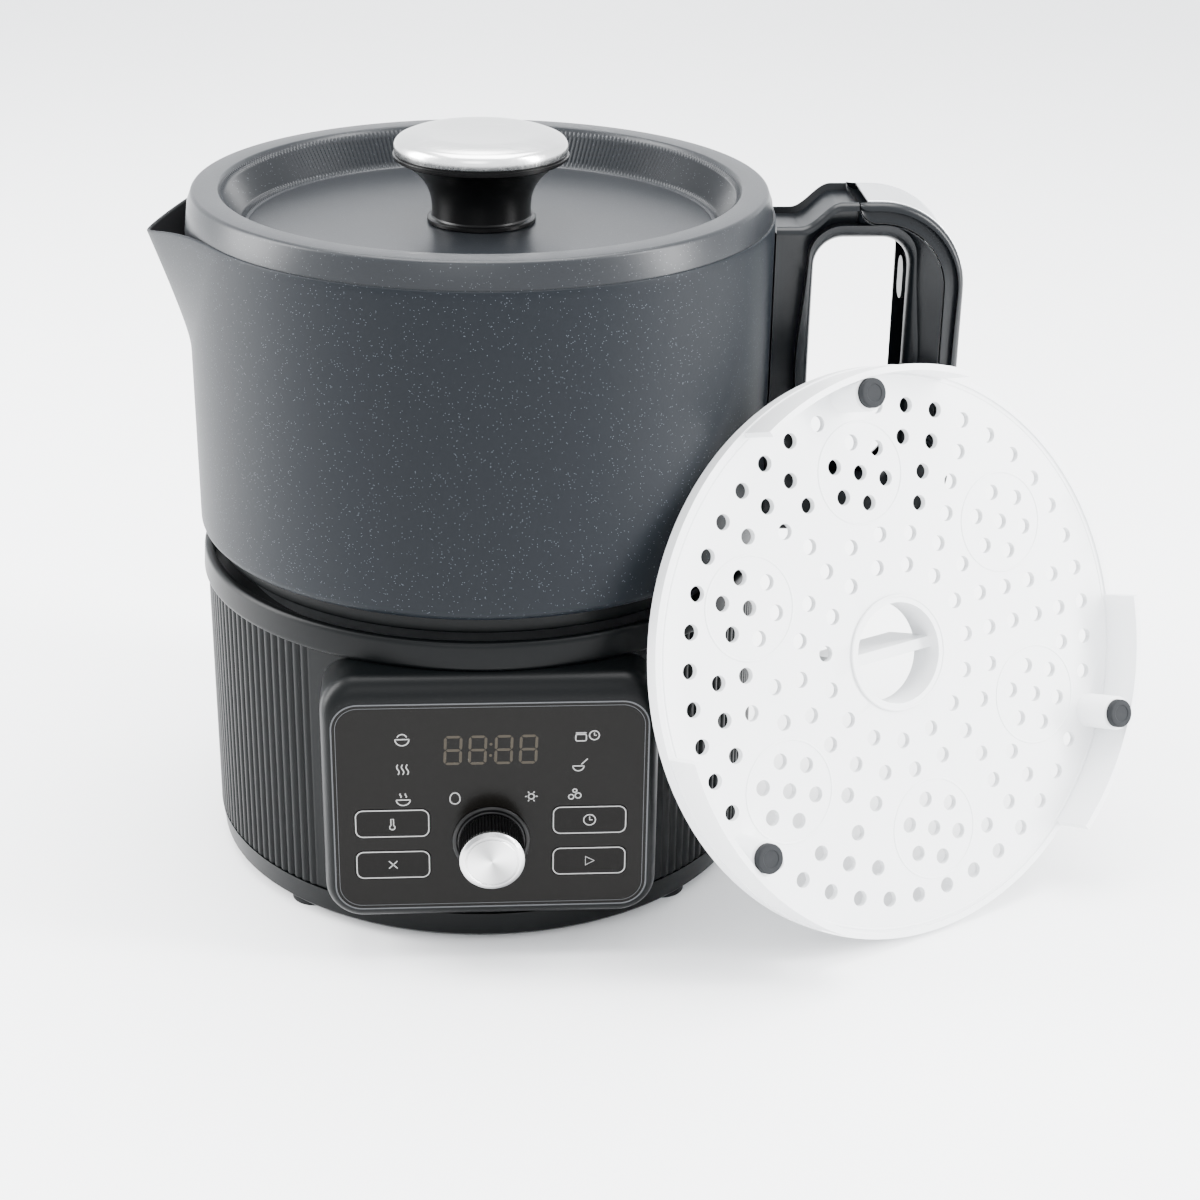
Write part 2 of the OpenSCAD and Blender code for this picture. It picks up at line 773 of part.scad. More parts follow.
module lid_plate() {
    color("#b5b8ba") rotate_extrude() polygon([
        [0, lid_plate_z], [lid_plate_r, lid_plate_z], [lid_plate_r, lid_top - 1.4 - lid_t],
        [lid_plate_r - lid_plate_t, lid_top - 1.4 - lid_t],
        [lid_plate_r - lid_plate_t, lid_plate_z + lid_plate_t], [0, lid_plate_z + lid_plate_t]
    ]);
}

module lid_seal() {
    color("#c8c8c4") rotate_extrude() polygon([
        [lid_plate_r, seal_z], [pot_in_r - seal_gap - 2, seal_z], [pot_in_r - seal_gap, seal_z + 1.6],
        [pot_in_r - seal_gap, seal_z + seal_h - 1], [lid_plate_r, seal_z + seal_h]
    ]);
}

// The stem is widest at its foot and under the flange
function stem_flare(t) = stem_neck_r + (knob_r - 0.8 - stem_neck_r) * pow(t, 2.6);

module knob_stem() {
    n = 10;
    foot = 1.6;
    color("#0f1011") difference() {
        rotate_extrude() polygon(concat(
            [[0, stem_z], [stem_d / 2, stem_z], [stem_d / 2, stem_z + foot]],
            [for (i = [0:n]) [stem_flare(i / n), stem_z + foot + 0.4 + (stem_h - foot - 0.4) * i / n]],
            [[0, flange_z]]
        ));
        translate([0, 0, stem_z - 1]) cylinder(r = knob_screw_r, h = knob_screw_depth + 1);
    }
}

module knob_flange() {
    color("#0b0c0d") translate([0, 0, flange_z]) rotate_extrude() polygon([
        [0, 0], [knob_r - 0.4, 0], [knob_r + 0.4, 0.6], [knob_r + 0.4, 1.2],
        [knob_r, flange_t], [0, flange_t]
    ]);
}

module knob_cap() {
    edge = 3.2;
    color("#c3c5c6") translate([0, 0, cap_z]) rotate_extrude() polygon(concat(
        [[0, 0], [knob_r - 0.6, 0], [knob_r, 0.8]],
        arc(knob_r - edge, cap_h - 1 - edge, edge, 0, 75, 6),
        [[knob_r * 0.66, cap_h], [knob_r * 0.58, cap_h - 0.1], [0, cap_h - 0.9]]
    ));
}

module knob_screw() {
    color("#8d9093") {
        translate([0, 0, stem_z - lid_t]) cylinder(r = knob_screw_r, h = knob_screw_depth + lid_t);
        translate([0, 0, stem_z - lid_t - knob_head_t]) cylinder(r = knob_screw_r + 2.2, h = knob_head_t);
    }
}

// ---- Tray ----

function seat_pos(i) = seat_at * [cos(SEAT_ANGLES[i]), sin(SEAT_ANGLES[i])];
function post_pos(i) = tray_post_at * [cos(POST_ANGLES[i]), sin(POST_ANGLES[i])];
function near_seat(p) = min([for (i = [0:5]) norm(p - seat_pos(i))]) < seat_r + tray_hole_d / 2 + 1;
function near_post(p) = min([for (i = [0:2]) norm(p - post_pos(i))]) < tray_post_r + tray_hole_d / 2 + 1;

// Rings of steam holes that leave out the egg seats and the posts, and seven holes in each seat
module steam_holes() {
    for (r = HOLE_RINGS) {
        count = floor(2 * PI * r / hole_pitch);
        for (i = [0:count - 1]) {
            p = r * [cos(360 * i / count), sin(360 * i / count)];
            if (!near_seat(p) && !near_post(p)) translate(p) circle(d = tray_hole_d);
        }
    }
    for (i = [0:5]) translate(seat_pos(i)) {
        circle(d = tray_hole_d);
        for (a = [0:60:300]) rotate(a + 20) translate([seat_hole_at, 0]) circle(d = tray_hole_d);
    }
}

module wall_sector() {
    reach = tray_r * 1.3;
    polygon([
        [0, 0], reach * [cos(tray_wall_half), -sin(tray_wall_half)], [reach, 0],
        reach * [cos(tray_wall_half), sin(tray_wall_half)]
    ]);
}

module tray_flat() {
    color("#f2f2f0") {
        linear_extrude(height = tray_t) difference() {
            circle(r = tray_r - 1);
            circle(r = grip_r - grip_wall / 2);
            steam_holes();
        }
        ring(tray_r, tray_r - 2, -0.6, tray_rim + 0.6);
        ring(grip_r, grip_r - grip_wall, -0.6, grip_h + 0.6);
        for (i = [0:5]) translate(seat_pos(i)) ring(seat_r, seat_r - seat_rib, tray_t - 0.01, 1);
        translate([-grip_r + 0.5, -grip_bar_w / 2, 4]) cube([2 * grip_r - 1, grip_bar_w, grip_bar_h - 4]);
        for (i = [0:2]) {
            rotate([0, 0, POST_ANGLES[i]]) translate([0, 0, -tray_wall_h])
                linear_extrude(height = tray_wall_h + 1) intersection() {
                    difference() {
                        circle(r = tray_r - tray_wall_inset);
                        circle(r = tray_r - tray_wall_inset - tray_wall_t);
                    }
                    wall_sector();
                }
            translate([post_pos(i)[0], post_pos(i)[1], -tray_wall_h + 1])
                cylinder(r = tray_post_r, h = tray_wall_h);
        }
    }
}

module tray_feet_flat() {
    color("#33373b") for (i = [0:2])
        translate([post_pos(i)[0], post_pos(i)[1], -tray_wall_h + 1 - seat_gap - tray_foot_h])
            cylinder(r1 = tray_foot_r - 0.8, r2 = tray_foot_r, h = tray_foot_h);
}

// Stands the flat tray up so that its rim rests on the table and leans towards the handle
module lean() {
    translate(tray_mid) rotate([-(90 + tray_lean), 0, tray_turn]) children();
}

module tray() { lean() tray_flat(); }
module tray_feet() { lean() tray_feet_flat(); }

base_shell();
top_ring();
bottom_cover();
base_feet();
bottom_screws();
heater_plate();
heater_collar();
heating_element();
temperature_sensor();
panel_bezel();
panel_plate();
control_board();
display_module();
encoder();
dial_ring();
dial_shaft();
dial_body();
dial_face();
button_upper_left();
button_lower_left();
button_upper_right();
button_lower_right();
power_board();
power_inlet();
pot_shell();
pot_locating_ring();
handle_mount();
handle_frame();
handle_cover();
handle_inlay();
handle_screws();
handle_plugs();
lid_shell();
lid_plate();
lid_seal();
knob_stem();
knob_flange();
knob_cap();
knob_screw();
tray();
tray_feet();
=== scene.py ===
import logging
import math
from dataclasses import dataclass, field
from enum import Enum
from functools import lru_cache
from typing import Dict, List, Optional, Sequence, Tuple, Union

import bmesh
import bpy
import numpy as np
from mathutils import Matrix, Vector


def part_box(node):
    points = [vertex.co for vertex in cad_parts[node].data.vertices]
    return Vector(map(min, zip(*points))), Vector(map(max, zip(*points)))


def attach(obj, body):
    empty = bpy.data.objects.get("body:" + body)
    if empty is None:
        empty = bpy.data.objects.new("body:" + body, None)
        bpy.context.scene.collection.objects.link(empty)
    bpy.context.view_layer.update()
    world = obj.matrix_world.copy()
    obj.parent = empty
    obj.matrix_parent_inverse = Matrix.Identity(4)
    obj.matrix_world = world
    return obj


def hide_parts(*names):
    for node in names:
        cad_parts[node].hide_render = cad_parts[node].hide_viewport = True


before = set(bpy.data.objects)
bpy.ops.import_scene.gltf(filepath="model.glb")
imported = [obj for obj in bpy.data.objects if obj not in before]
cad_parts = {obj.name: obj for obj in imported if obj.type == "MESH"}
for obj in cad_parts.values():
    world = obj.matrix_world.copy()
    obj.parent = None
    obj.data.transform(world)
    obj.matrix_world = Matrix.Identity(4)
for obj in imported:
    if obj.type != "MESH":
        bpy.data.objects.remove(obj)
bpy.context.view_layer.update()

Array = np.ndarray
Triple = Tuple[float, float, float]
Colour = Triple
MM = 0.001
TAU = 2 * math.pi
log = logging.getLogger("egg_cooker")


# ---- Sizes taken from the frame ----

@dataclass(frozen=True)
class Extent:
    """The box of a CAD node, in millimetres."""

    low: Array
    high: Array

    @classmethod
    def of(cls, node: str) -> "Extent":
        """Reads a node's box.

        Args:
            node: name of the CAD node.

        Returns:
            Its extent in millimetres.
        """
        low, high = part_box(node)
        return cls(np.array(low[:]) / MM, np.array(high[:]) / MM)

    @property
    def middle(self) -> Array:
        """The middle of the box."""
        return (self.low + self.high) / 2

    @property
    def size(self) -> Array:
        """The box's three sizes."""
        return self.high - self.low

    @property
    def disc(self) -> Triple:
        """The radius, bottom and top of a round node that stands upright."""
        return self.size[0] / 2, self.low[2], self.high[2]


# ---- Curves and surfaces ----

def arc(x: float, y: float, radius: float, start: float, end: float, steps: int = 7) -> Array:
    """Points x + r cos a, y + r sin a of a circular arc.

    Args:
        x: centre, first coordinate.
        y: centre, second coordinate.
        radius: radius of the arc.
        start: first angle in degrees.
        end: last angle in degrees.
        steps: number of points.

    Returns:
        Array of shape (steps, 2).
    """
    a = np.radians(np.linspace(start, end, steps))
    return np.stack([x + radius * np.cos(a), y + radius * np.sin(a)], -1)


def line(start: Sequence[float], end: Sequence[float], steps: int) -> Array:
    """Evenly spaced points from start to end, both included."""
    return np.linspace(start, end, steps)


def filleted(points: Array, radius: Union[float, Array], steps: int = 5) -> Array:
    """A closed outline with its corners eased.

    Each corner P is traded for (1-t)^2 A + 2t(1-t) P + t^2 B, where A and B lie the radius
    before and after it along the outline.

    Args:
        points: corners, shape (n, 2).
        radius: how far the easing reaches, one value or one for each corner.
        steps: points per corner.

    Returns:
        Array of shape (n * steps, 2).
    """
    to_last, to_next = np.roll(points, 1, 0) - points, np.roll(points, -1, 0) - points
    len_last = np.linalg.norm(to_last, axis=1, keepdims=True)
    len_next = np.linalg.norm(to_next, axis=1, keepdims=True)
    reach = np.broadcast_to(np.asarray(radius, float), (len(points),))[:, None]
    a = points + to_last / len_last * np.minimum(reach, len_last / 2)
    b = points + to_next / len_next * np.minimum(reach, len_next / 2)
    t = np.linspace(0, 1, steps)[None, :, None]
    curve = (1 - t) ** 2 * a[:, None] + 2 * t * (1 - t) * points[:, None] + t**2 * b[:, None]
    return curve.reshape(-1, 2)


def rounded(width: float, height: float, radius: float, steps: int = 9) -> Array:
    """The outline of a rounded rectangle about the origin: four quarter circles joined by its sides.

    Args:
        width: overall width.
        height: overall height.
        radius: corner radius.
        steps: points per corner.

    Returns:
        Array of shape (4 * steps, 2), anticlockwise from the right side.
    """
    x, y = width / 2 - radius, height / 2 - radius
    return np.concatenate([
        arc(x, y, radius, 0, 90, steps), arc(-x, y, radius, 90, 180, steps),
        arc(-x, -y, radius, 180, 270, steps), arc(x, -y, radius, 270, 360, steps),
    ])


def turned(profile: Array, columns: int, ripple: Optional[Array] = None) -> Array:
    """Carries a profile of (radius, height) once round the Z axis: (r cos a, r sin a, z).

    Args:
        profile: shape (n, 2).
        columns: steps round the circle.
        ripple: extra radius, shape (columns, n).

    Returns:
        Grid of shape (columns, n, 3).
    """
    angle = np.linspace(0, TAU, columns, endpoint=False)[:, None]
    radius = profile[None, :, 0] + (0 if ripple is None else ripple)
    height = np.broadcast_to(profile[None, :, 1], (columns, len(profile)))
    return np.stack([np.cos(angle) * radius, np.sin(angle) * radius, height], -1)


def spread(breaks: Sequence[float], step: float) -> Array:
    """Values from the first break to the last, spaced by about step, that include every break."""
    pairs = zip(breaks, breaks[1:])
    runs = [np.linspace(a, b, max(2, int(math.ceil((b - a) / step)) + 1))[:-1] for a, b in pairs]
    return np.concatenate([*runs, [breaks[-1]]])


@dataclass
class Surface:
    """Points and faces of one piece, gathered as arrays in millimetres."""

    points: List[Array] = field(default_factory=list)
    faces: List[Array] = field(default_factory=list)
    tags: List[Array] = field(default_factory=list)
    count: int = 0

    def add(self, points: Array, faces: Array, tag: Union[float, Array] = 0.0) -> "Surface":
        """Adds points and the faces that join them.

        Args:
            points: shape (..., 3).
            faces: indices into these points, shape (m, corners).
            tag: value of the piece's own attribute at these points.

        Returns:
            The same surface.
        """
        flat = points.reshape(-1, 3)
        self.points.append(flat)
        self.tags.append(np.broadcast_to(np.asarray(tag, float), points.shape[:-1]).reshape(-1))
        self.faces.append(faces.reshape(-1, faces.shape[-1]) + self.count)
        self.count += len(flat)
        return self

    def grid(
        self, cells: Array, wrap_u: bool = False, wrap_v: bool = False, tag: Union[float, Array] = 0.0
    ) -> "Surface":
        """Adds a grid of points joined by quads.

        Args:
            cells: shape (nu, nv, 3).
            wrap_u: join the last row to the first.
            wrap_v: join the last column to the first.
            tag: value of the piece's own attribute.

        Returns:
            The same surface.
        """
        nu, nv = cells.shape[:2]
        index = np.arange(nu * nv).reshape(nu, nv)
        index = np.concatenate([index, index[:1]], 0) if wrap_u else index
        index = np.concatenate([index, index[:, :1]], 1) if wrap_v else index
        quads = np.stack([index[:-1, :-1], index[1:, :-1], index[1:, 1:], index[:-1, 1:]], -1)
        return self.add(cells, quads, tag)

    def cap(self, loop: Array, tag: float = 0.0) -> "Surface":
        """Closes a loop of points with one face."""
        return self.add(loop, np.arange(len(loop))[None, :], tag)

    def moved(self, matrix: Array, shift: Sequence[float] = (0, 0, 0)) -> "Surface":
        """Turns every point by a 3 by 3 matrix and then shifts it."""
        self.points = [p @ np.asarray(matrix, float).T + np.asarray(shift, float) for p in self.points]
        return self

    def join(self, other: "Surface") -> "Surface":
        """Adds another surface to this one."""
        for points, tags in zip(other.points, other.tags):
            self.points.append(points)
            self.tags.append(tags)
        self.faces += [f + self.count for f in other.faces]
        self.count += other.count
        return self

    def build(self, name: str, sharp: float = 35.0) -> bpy.types.Object:
        """Makes the mesh, joins points that coincide and turns every face outwards.

        Args:
            name: name of the piece.
            sharp: edges that turn by more than this many degrees stay sharp.

        Returns:
            The new object, at the origin.
        """
        mesh = bpy.data.meshes.new(name)
        points = np.concatenate(self.points) * MM
        mesh.vertices.add(len(points))
        mesh.vertices.foreach_set("co", points.astype(np.float32).ravel())
        loops = np.concatenate([f.ravel() for f in self.faces])
        sizes = np.concatenate([np.full(len(f), f.shape[1]) for f in self.faces])
        mesh.loops.add(len(loops))
        mesh.loops.foreach_set("vertex_index", loops.astype(np.int32))
        mesh.polygons.add(len(sizes))
        mesh.polygons.foreach_set("loop_start", (np.cumsum(sizes) - sizes).astype(np.int32))
        tags = np.concatenate(self.tags)
        if tags.any():
            layer = mesh.attributes.new("lining", "FLOAT", "POINT")
            layer.data.foreach_set("value", tags.astype(np.float32))
        mesh.update(calc_edges=True)
        return finished(mesh, name, sharp)


def lathe(profile: Array, columns: int, closed: bool = True, ripple: Optional[Array] = None) -> Surface:
    """Turns a profile of (radius, height) about Z.

    Args:
        profile: shape (n, 2).
        columns: steps round the circle.
        closed: join the profile's end to its start; a profile that starts and ends on the axis needs none.
        ripple: extra radius, shape (columns, n).

    Returns:
        The surface.
    """
    return Surface().grid(turned(profile, columns, ripple), wrap_u=True, wrap_v=closed)


def finished(mesh: bpy.types.Mesh, name: str, sharp: float) -> bpy.types.Object:
    """Merges a mesh's doubles, recalculates its normals, smooths it and makes its object.

    Args:
        mesh: the mesh.
        name: name of the object.
        sharp: angle in degrees past which an edge stays sharp.

    Returns:
        The object, linked to the scene.
    """
    work = bmesh.new()
    work.from_mesh(mesh)
    bmesh.ops.remove_doubles(work, verts=work.verts, dist=2e-6)
    bmesh.ops.recalc_face_normals(work, faces=work.faces)
    work.to_mesh(mesh)
    work.free()
    mesh.polygons.foreach_set("use_smooth", np.ones(len(mesh.polygons), bool))
    mesh.set_sharp_from_angle(angle=math.radians(sharp))
    piece = bpy.data.objects.new(name, mesh)
    bpy.context.scene.collection.objects.link(piece)
    return piece


def walled(outer: Array, inner: Array, keep: Array) -> Surface:
    """A closed wall with openings, between two grids that close round in their first direction.

    Every kept cell gets one face on each grid, and each edge between a kept cell and a missing
    one gets a face from the outer grid to the inner one.

    Args:
        outer: shape (nu, nv, 3).
        inner: the same shape.
        keep: which cells stay, shape (nu, nv - 1).

    Returns:
        The closed surface.
    """
    nu, nv = outer.shape[:2]
    o = np.arange(nu * nv).reshape(nu, nv)
    o = np.concatenate([o, o[:1]], 0)
    n = o + nu * nv
    quads = [np.stack([g[:-1, :-1], g[1:, :-1], g[1:, 1:], g[:-1, 1:]], -1)[keep] for g in (o, n)]
    padded = np.pad(keep, ((0, 0), (1, 1)))
    i, j = np.nonzero(padded[:, 1:] != padded[:, :-1])
    quads.append(np.stack([o[i, j], o[i + 1, j], n[i + 1, j], n[i, j]], -1))
    i, j = np.nonzero(keep != np.roll(keep, 1, 0))
    quads.append(np.stack([o[i, j], o[i, j + 1], n[i, j + 1], n[i, j]], -1))
    surface = Surface()
    surface.add(np.concatenate([outer.reshape(-1, 3), inner.reshape(-1, 3)]), np.concatenate(quads))
    return surface


def stroke(path: Array, width: float, low: float, high: float, closed: bool = False) -> Surface:
    """A printed line: the path shifted half the width to each side, between two heights.

    Args:
        path: shape (n, 2).
        width: width of the line.
        low: lower height.
        high: upper height.
        closed: whether the path's end meets its start.

    Returns:
        The surface, flat in XY.
    """
    ahead = np.roll(path, -1, 0) - np.roll(path, 1, 0)
    if not closed:
        ahead[0], ahead[-1] = path[1] - path[0], path[-1] - path[-2]
    length = np.linalg.norm(ahead, axis=1, keepdims=True)
    side = np.stack([-ahead[:, 1], ahead[:, 0]], -1) / length * width / 2
    flat = np.stack([path - side, path + side, path + side, path - side], 1)
    height = np.broadcast_to(np.array([low, low, high, high])[None, :, None], flat.shape[:2] + (1,))
    cells = np.concatenate([flat, height], -1)
    surface = Surface().grid(cells, wrap_u=closed, wrap_v=True)
    return surface if closed else surface.cap(cells[0]).cap(cells[-1])


def prisms(outlines: Array, low: float, high: float) -> Surface:
    """Upright prisms, one for each outline.

    Args:
        outlines: shape (m, corners, 2).
        low: lower height.
        high: upper height.

    Returns:
        The surface of all the prisms.
    """
    m, k = outlines.shape[:2]
    floor = np.concatenate([outlines, np.full((m, k, 1), low)], -1)
    roof = np.concatenate([outlines, np.full((m, k, 1), high)], -1)
    index = np.arange(2 * m * k).reshape(2, m, k)
    after = np.roll(index, -1, 2)
    sides = np.stack([index[0], after[0], after[1], index[1]], -1).reshape(-1, 4)
    surface = Surface().add(np.concatenate([floor, roof]), sides)
    surface.faces.append(index.reshape(2 * m, k))
    return surface


# ---- Shader maths ----

class Wire:
    """A socket of a material's nodes; arithmetic on it adds Math nodes."""

    def __init__(self, recipe: "Recipe", socket: bpy.types.NodeSocket) -> None:
        """Keeps the socket and the recipe that it belongs to."""
        self.recipe = recipe
        self.socket = socket

    def maths(self, operation: str, other: "Amount" = 0.0, swap: bool = False) -> "Wire":
        """Adds a Math node.

        Args:
            operation: Blender's name of the operation.
            other: second value.
            swap: take the other value first.

        Returns:
            The node's result.
        """
        first, second = (other, self) if swap else (self, other)
        return self.recipe.add("ShaderNodeMath", {"operation": operation}, {0: first, 1: second})

    def __add__(self, other: "Amount") -> "Wire":
        """self + other"""
        return self.maths("ADD", other)

    __radd__ = __add__

    def __sub__(self, other: "Amount") -> "Wire":
        """self - other"""
        return self.maths("SUBTRACT", other)

    def __rsub__(self, other: "Amount") -> "Wire":
        """other - self"""
        return self.maths("SUBTRACT", other, swap=True)

    def __mul__(self, other: "Amount") -> "Wire":
        """self * other"""
        return self.maths("MULTIPLY", other)

    __rmul__ = __mul__

    def __gt__(self, other: "Amount") -> "Wire":
        """1 where self is the greater, else 0"""
        return self.maths("GREATER_THAN", other)

    def __lt__(self, other: "Amount") -> "Wire":
        """1 where self is the smaller, else 0"""
        return self.maths("LESS_THAN", other)


Amount = Union[Wire, float]


class Recipe:
    """The node tree of one material, ending in a Principled shader."""

    def __init__(self, name: str) -> None:
        """Starts a material with an empty tree and its shader."""
        self.material = bpy.data.materials.new(name)
        self.material.use_nodes = True
        self.tree = self.material.node_tree
        self.tree.nodes.clear()
        out = self.tree.nodes.new("ShaderNodeOutputMaterial")
        self.shader = self.tree.nodes.new("ShaderNodeBsdfPrincipled")
        self.tree.links.new(self.shader.outputs[0], out.inputs[0])

    def add(
        self, kind: str, settings: Optional[dict] = None, values: Optional[dict] = None,
        out: Union[int, str] = 0,
    ) -> Wire:
        """Adds one node: its settings first, then the values or links of its sockets.

        Args:
            kind: Blender's node type.
            settings: attributes of the node.
            values: socket name or number to a number, colour or wire.
            out: which output is wanted.

        Returns:
            The wanted output.
        """
        node = self.tree.nodes.new(kind)
        for key, value in (settings or {}).items():
            setattr(node, key, value)
        self.fill(node, values or {})
        return Wire(self, node.outputs[out])

    def fill(self, node: bpy.types.Node, values: dict) -> None:
        """Sets or links the sockets of a node."""
        for key, value in values.items():
            if isinstance(value, Wire):
                self.tree.links.new(value.socket, node.inputs[key])
            elif isinstance(value, tuple) and node.inputs[key].type == "RGBA":
                node.inputs[key].default_value = (*value, 1.0)
            else:
                node.inputs[key].default_value = value

    def place(self) -> Wire:
        """The point's place on the piece, in metres."""
        return self.add("ShaderNodeTexCoord", out="Object")

    def stretched(self, scale: Triple, centre: Triple = (0, 0, 0)) -> Wire:
        """The point's place measured from a centre and scaled along each axis."""
        shift = self.add("ShaderNodeVectorMath", {"operation": "SUBTRACT"}, {0: self.place(), 1: centre})
        return self.add("ShaderNodeVectorMath", {"operation": "MULTIPLY"}, {0: shift, 1: scale})

    def noise(self, scale: float, detail: float = 2.0, vector: Optional[Wire] = None) -> Wire:
        """Cloudy noise between 0 and 1, with its scale in cells per metre."""
        values = {"Vector": vector or self.place(), "Scale": scale, "Detail": detail, "Roughness": 0.5}
        return self.add("ShaderNodeTexNoise", None, values, "Fac")

    def shades(self, mask: Amount, first: Union[Colour, Wire], second: Union[Colour, Wire]) -> Wire:
        """Mixes two colours by a mask."""
        return self.add("ShaderNodeMix", {"data_type": "RGBA"}, {0: mask, 6: first, 7: second}, 2)

    def bump(self, height: Wire, strength: float, depth: float) -> Wire:
        """A normal from a height.

        Args:
            height: the height, about 0 to 1.
            strength: how strongly it shows.
            depth: the depth that a height of 1 stands for, in metres.

        Returns:
            The normal.
        """
        return self.add("ShaderNodeBump", None, {"Height": height, "Strength": strength, "Distance": depth})

    def done(self, **values: Union[Amount, Colour]) -> bpy.types.Material:
        """Fills the shader's sockets and returns the material; an underscore stands for a space."""
        self.fill(self.shader, {key.replace("_", " "): value for key, value in values.items()})
        return self.material


def varied(colour: Colour, factor: float) -> Colour:
    """A colour made lighter or darker by a factor."""
    return tuple(min(1.0, c * factor) for c in colour)


# ---- Finishes ----

@dataclass(frozen=True)
class FleckPaint:
    """Baked metal paint with fine light flecks, over an optional dark non-stick lining."""

    name: str
    base: Colour
    fleck: Colour
    roughness: float = 0.42
    metallic: float = 0.35
    fleck_size: float = 0.26
    fleck_rarity: float = 0.975
    fleck_spot: float = 0.38
    fleck_strength: float = 0.6
    shine: float = 0.25
    lined: bool = False
    lining: Colour = (0.012, 0.012, 0.013)

    def make(self) -> bpy.types.Material:
        """Flecks are cells picked at random, brightest in their middle, on a slightly clouded base."""
        r = Recipe(self.name)
        cell = {"Vector": r.place(), "Scale": 1.0 / (self.fleck_size * MM)}
        near, tint = (
            r.add("ShaderNodeTexVoronoi", {"feature": "F1"}, cell, out) for out in ("Distance", "Color"))
        chance = r.add("ShaderNodeSeparateColor", None, {0: tint}, 0)
        fleck = (chance > self.fleck_rarity) * (near < self.fleck_spot)
        dust = (r.noise(2600.0, 1.0) - 0.5) * 0.9 + 0.5
        cloud = r.noise(14.0, 2.0)
        ground = r.shades(cloud, varied(self.base, 0.93), varied(self.base, 1.07))
        ground = r.shades(dust, ground, varied(self.base, 1.35))
        colour = r.shades(fleck * self.fleck_strength, ground, self.fleck)
        rough = self.roughness + 0.1 * (dust - 0.5)
        metal: Amount = self.metallic + 0.3 * fleck
        if self.lined:
            lining = r.add("ShaderNodeAttribute", {"attribute_name": "lining"}, None, "Fac") > 0.5
            colour = r.shades(lining, colour, self.lining)
            rough = rough - 0.08 * lining
            metal = metal * (1 - lining)
        peel = r.bump(r.noise(900.0, 2.0) + 0.35 * r.noise(3200.0, 1.0), 0.16, 0.0001)
        return r.done(
            Base_Color=colour, Roughness=rough, Metallic=metal, Normal=peel, Specular_IOR_Level=self.shine
        )


@dataclass(frozen=True)
class Plastic:
    """Moulded plastic or rubber with a fine spark-eroded grain."""

    name: str
    colour: Colour
    roughness: float = 0.45
    grain: float = 0.12
    grain_scale: float = 2200.0
    variation: float = 0.06
    scatter: float = 0.0
    shine: float = 0.5

    def make(self) -> bpy.types.Material:
        """Grain is fine noise in the bump; the colour and the sheen cloud slowly over the surface."""
        r = Recipe(self.name)
        cloud = r.noise(22.0, 3.0)
        fine = r.noise(self.grain_scale, 2.0)
        tones = [varied(self.colour, 1 + side * self.variation) for side in (-1, 1)]
        colour = r.shades(cloud, *tones)
        rough = self.roughness + 0.08 * (cloud - 0.5) + 0.06 * (fine - 0.5)
        return r.done(
            Base_Color=colour, Roughness=rough, Normal=r.bump(fine, self.grain, 0.0001),
            Subsurface_Weight=self.scatter, Subsurface_Radius=(0.004, 0.004, 0.004),
            Specular_IOR_Level=self.shine,
        )


@dataclass(frozen=True)
class BrushedMetal:
    """Metal brushed in straight lines."""

    name: str
    colour: Colour
    lines: Triple = (60.0, 3500.0, 3500.0)
    roughness: float = 0.28
    depth: float = 0.18

    def make(self) -> bpy.types.Material:
        """The lines are noise drawn out along one axis, in the bump and in the roughness."""
        r = Recipe(self.name)
        brush = r.noise(1.0, 3.0, r.stretched(self.lines))
        cloud = r.noise(30.0, 2.0)
        colour = r.shades(brush, varied(self.colour, 0.9), varied(self.colour, 1.06))
        rough = self.roughness + 0.22 * (brush - 0.5) + 0.05 * (cloud - 0.5)
        peel = r.bump(brush, self.depth, 0.00006)
        return r.done(Base_Color=colour, Roughness=rough, Metallic=1.0, Normal=peel)


@dataclass(frozen=True)
class SpunMetal:
    """Metal turned on a lathe: fine rings about an axis along Y, and two painted highlight fans in its colour.
    """

    name: str
    colour: Colour
    centre: Triple
    pitch: float = 0.16
    roughness: float = 0.2
    depth: float = 0.35
    painted_highlight_turn: float = -0.9
    painted_highlight_low: float = 0.3

    def make(self) -> bpy.types.Material:
        """The height is the sine of the distance from the axis, with a little noise from ring to ring.

        The two light fans are painted highlights standing in for the conic highlight of turned metal: the
        colour follows the cosine of twice the angle and is darker between them.
        """
        r = Recipe(self.name)
        flat = r.stretched((1.0, 0.0, 1.0), self.centre)
        radius = r.add("ShaderNodeVectorMath", {"operation": "LENGTH"}, {0: flat}, "Value")
        groove = (radius * (TAU / (self.pitch * MM))).maths("SINE")
        values = {"W": radius, "Scale": 5200.0, "Detail": 2.0}
        uneven = r.add("ShaderNodeTexNoise", {"noise_dimensions": "1D"}, values, "Fac")
        height = groove * 0.5 + uneven
        rough = self.roughness + 0.12 * (uneven - 0.5)
        across, upward = (r.add("ShaderNodeSeparateXYZ", None, {0: flat}, axis) for axis in "XZ")
        # painted highlight: the base colour is lighter in two opposite fans round the axis and darker between
        # them
        painted_highlight_fan = (upward.maths("ARCTAN2", across) * 2.0 + self.painted_highlight_turn).maths("COSINE") * 0.5 + 0.5
        ground = r.shades(painted_highlight_fan, varied(self.colour, self.painted_highlight_low), self.colour)
        colour = r.shades(uneven * 0.3, ground, varied(self.colour, 0.7))
        rings = r.bump(height, self.depth, 0.00003)
        return r.done(Base_Color=colour, Roughness=rough, Metallic=1.0, Normal=rings)


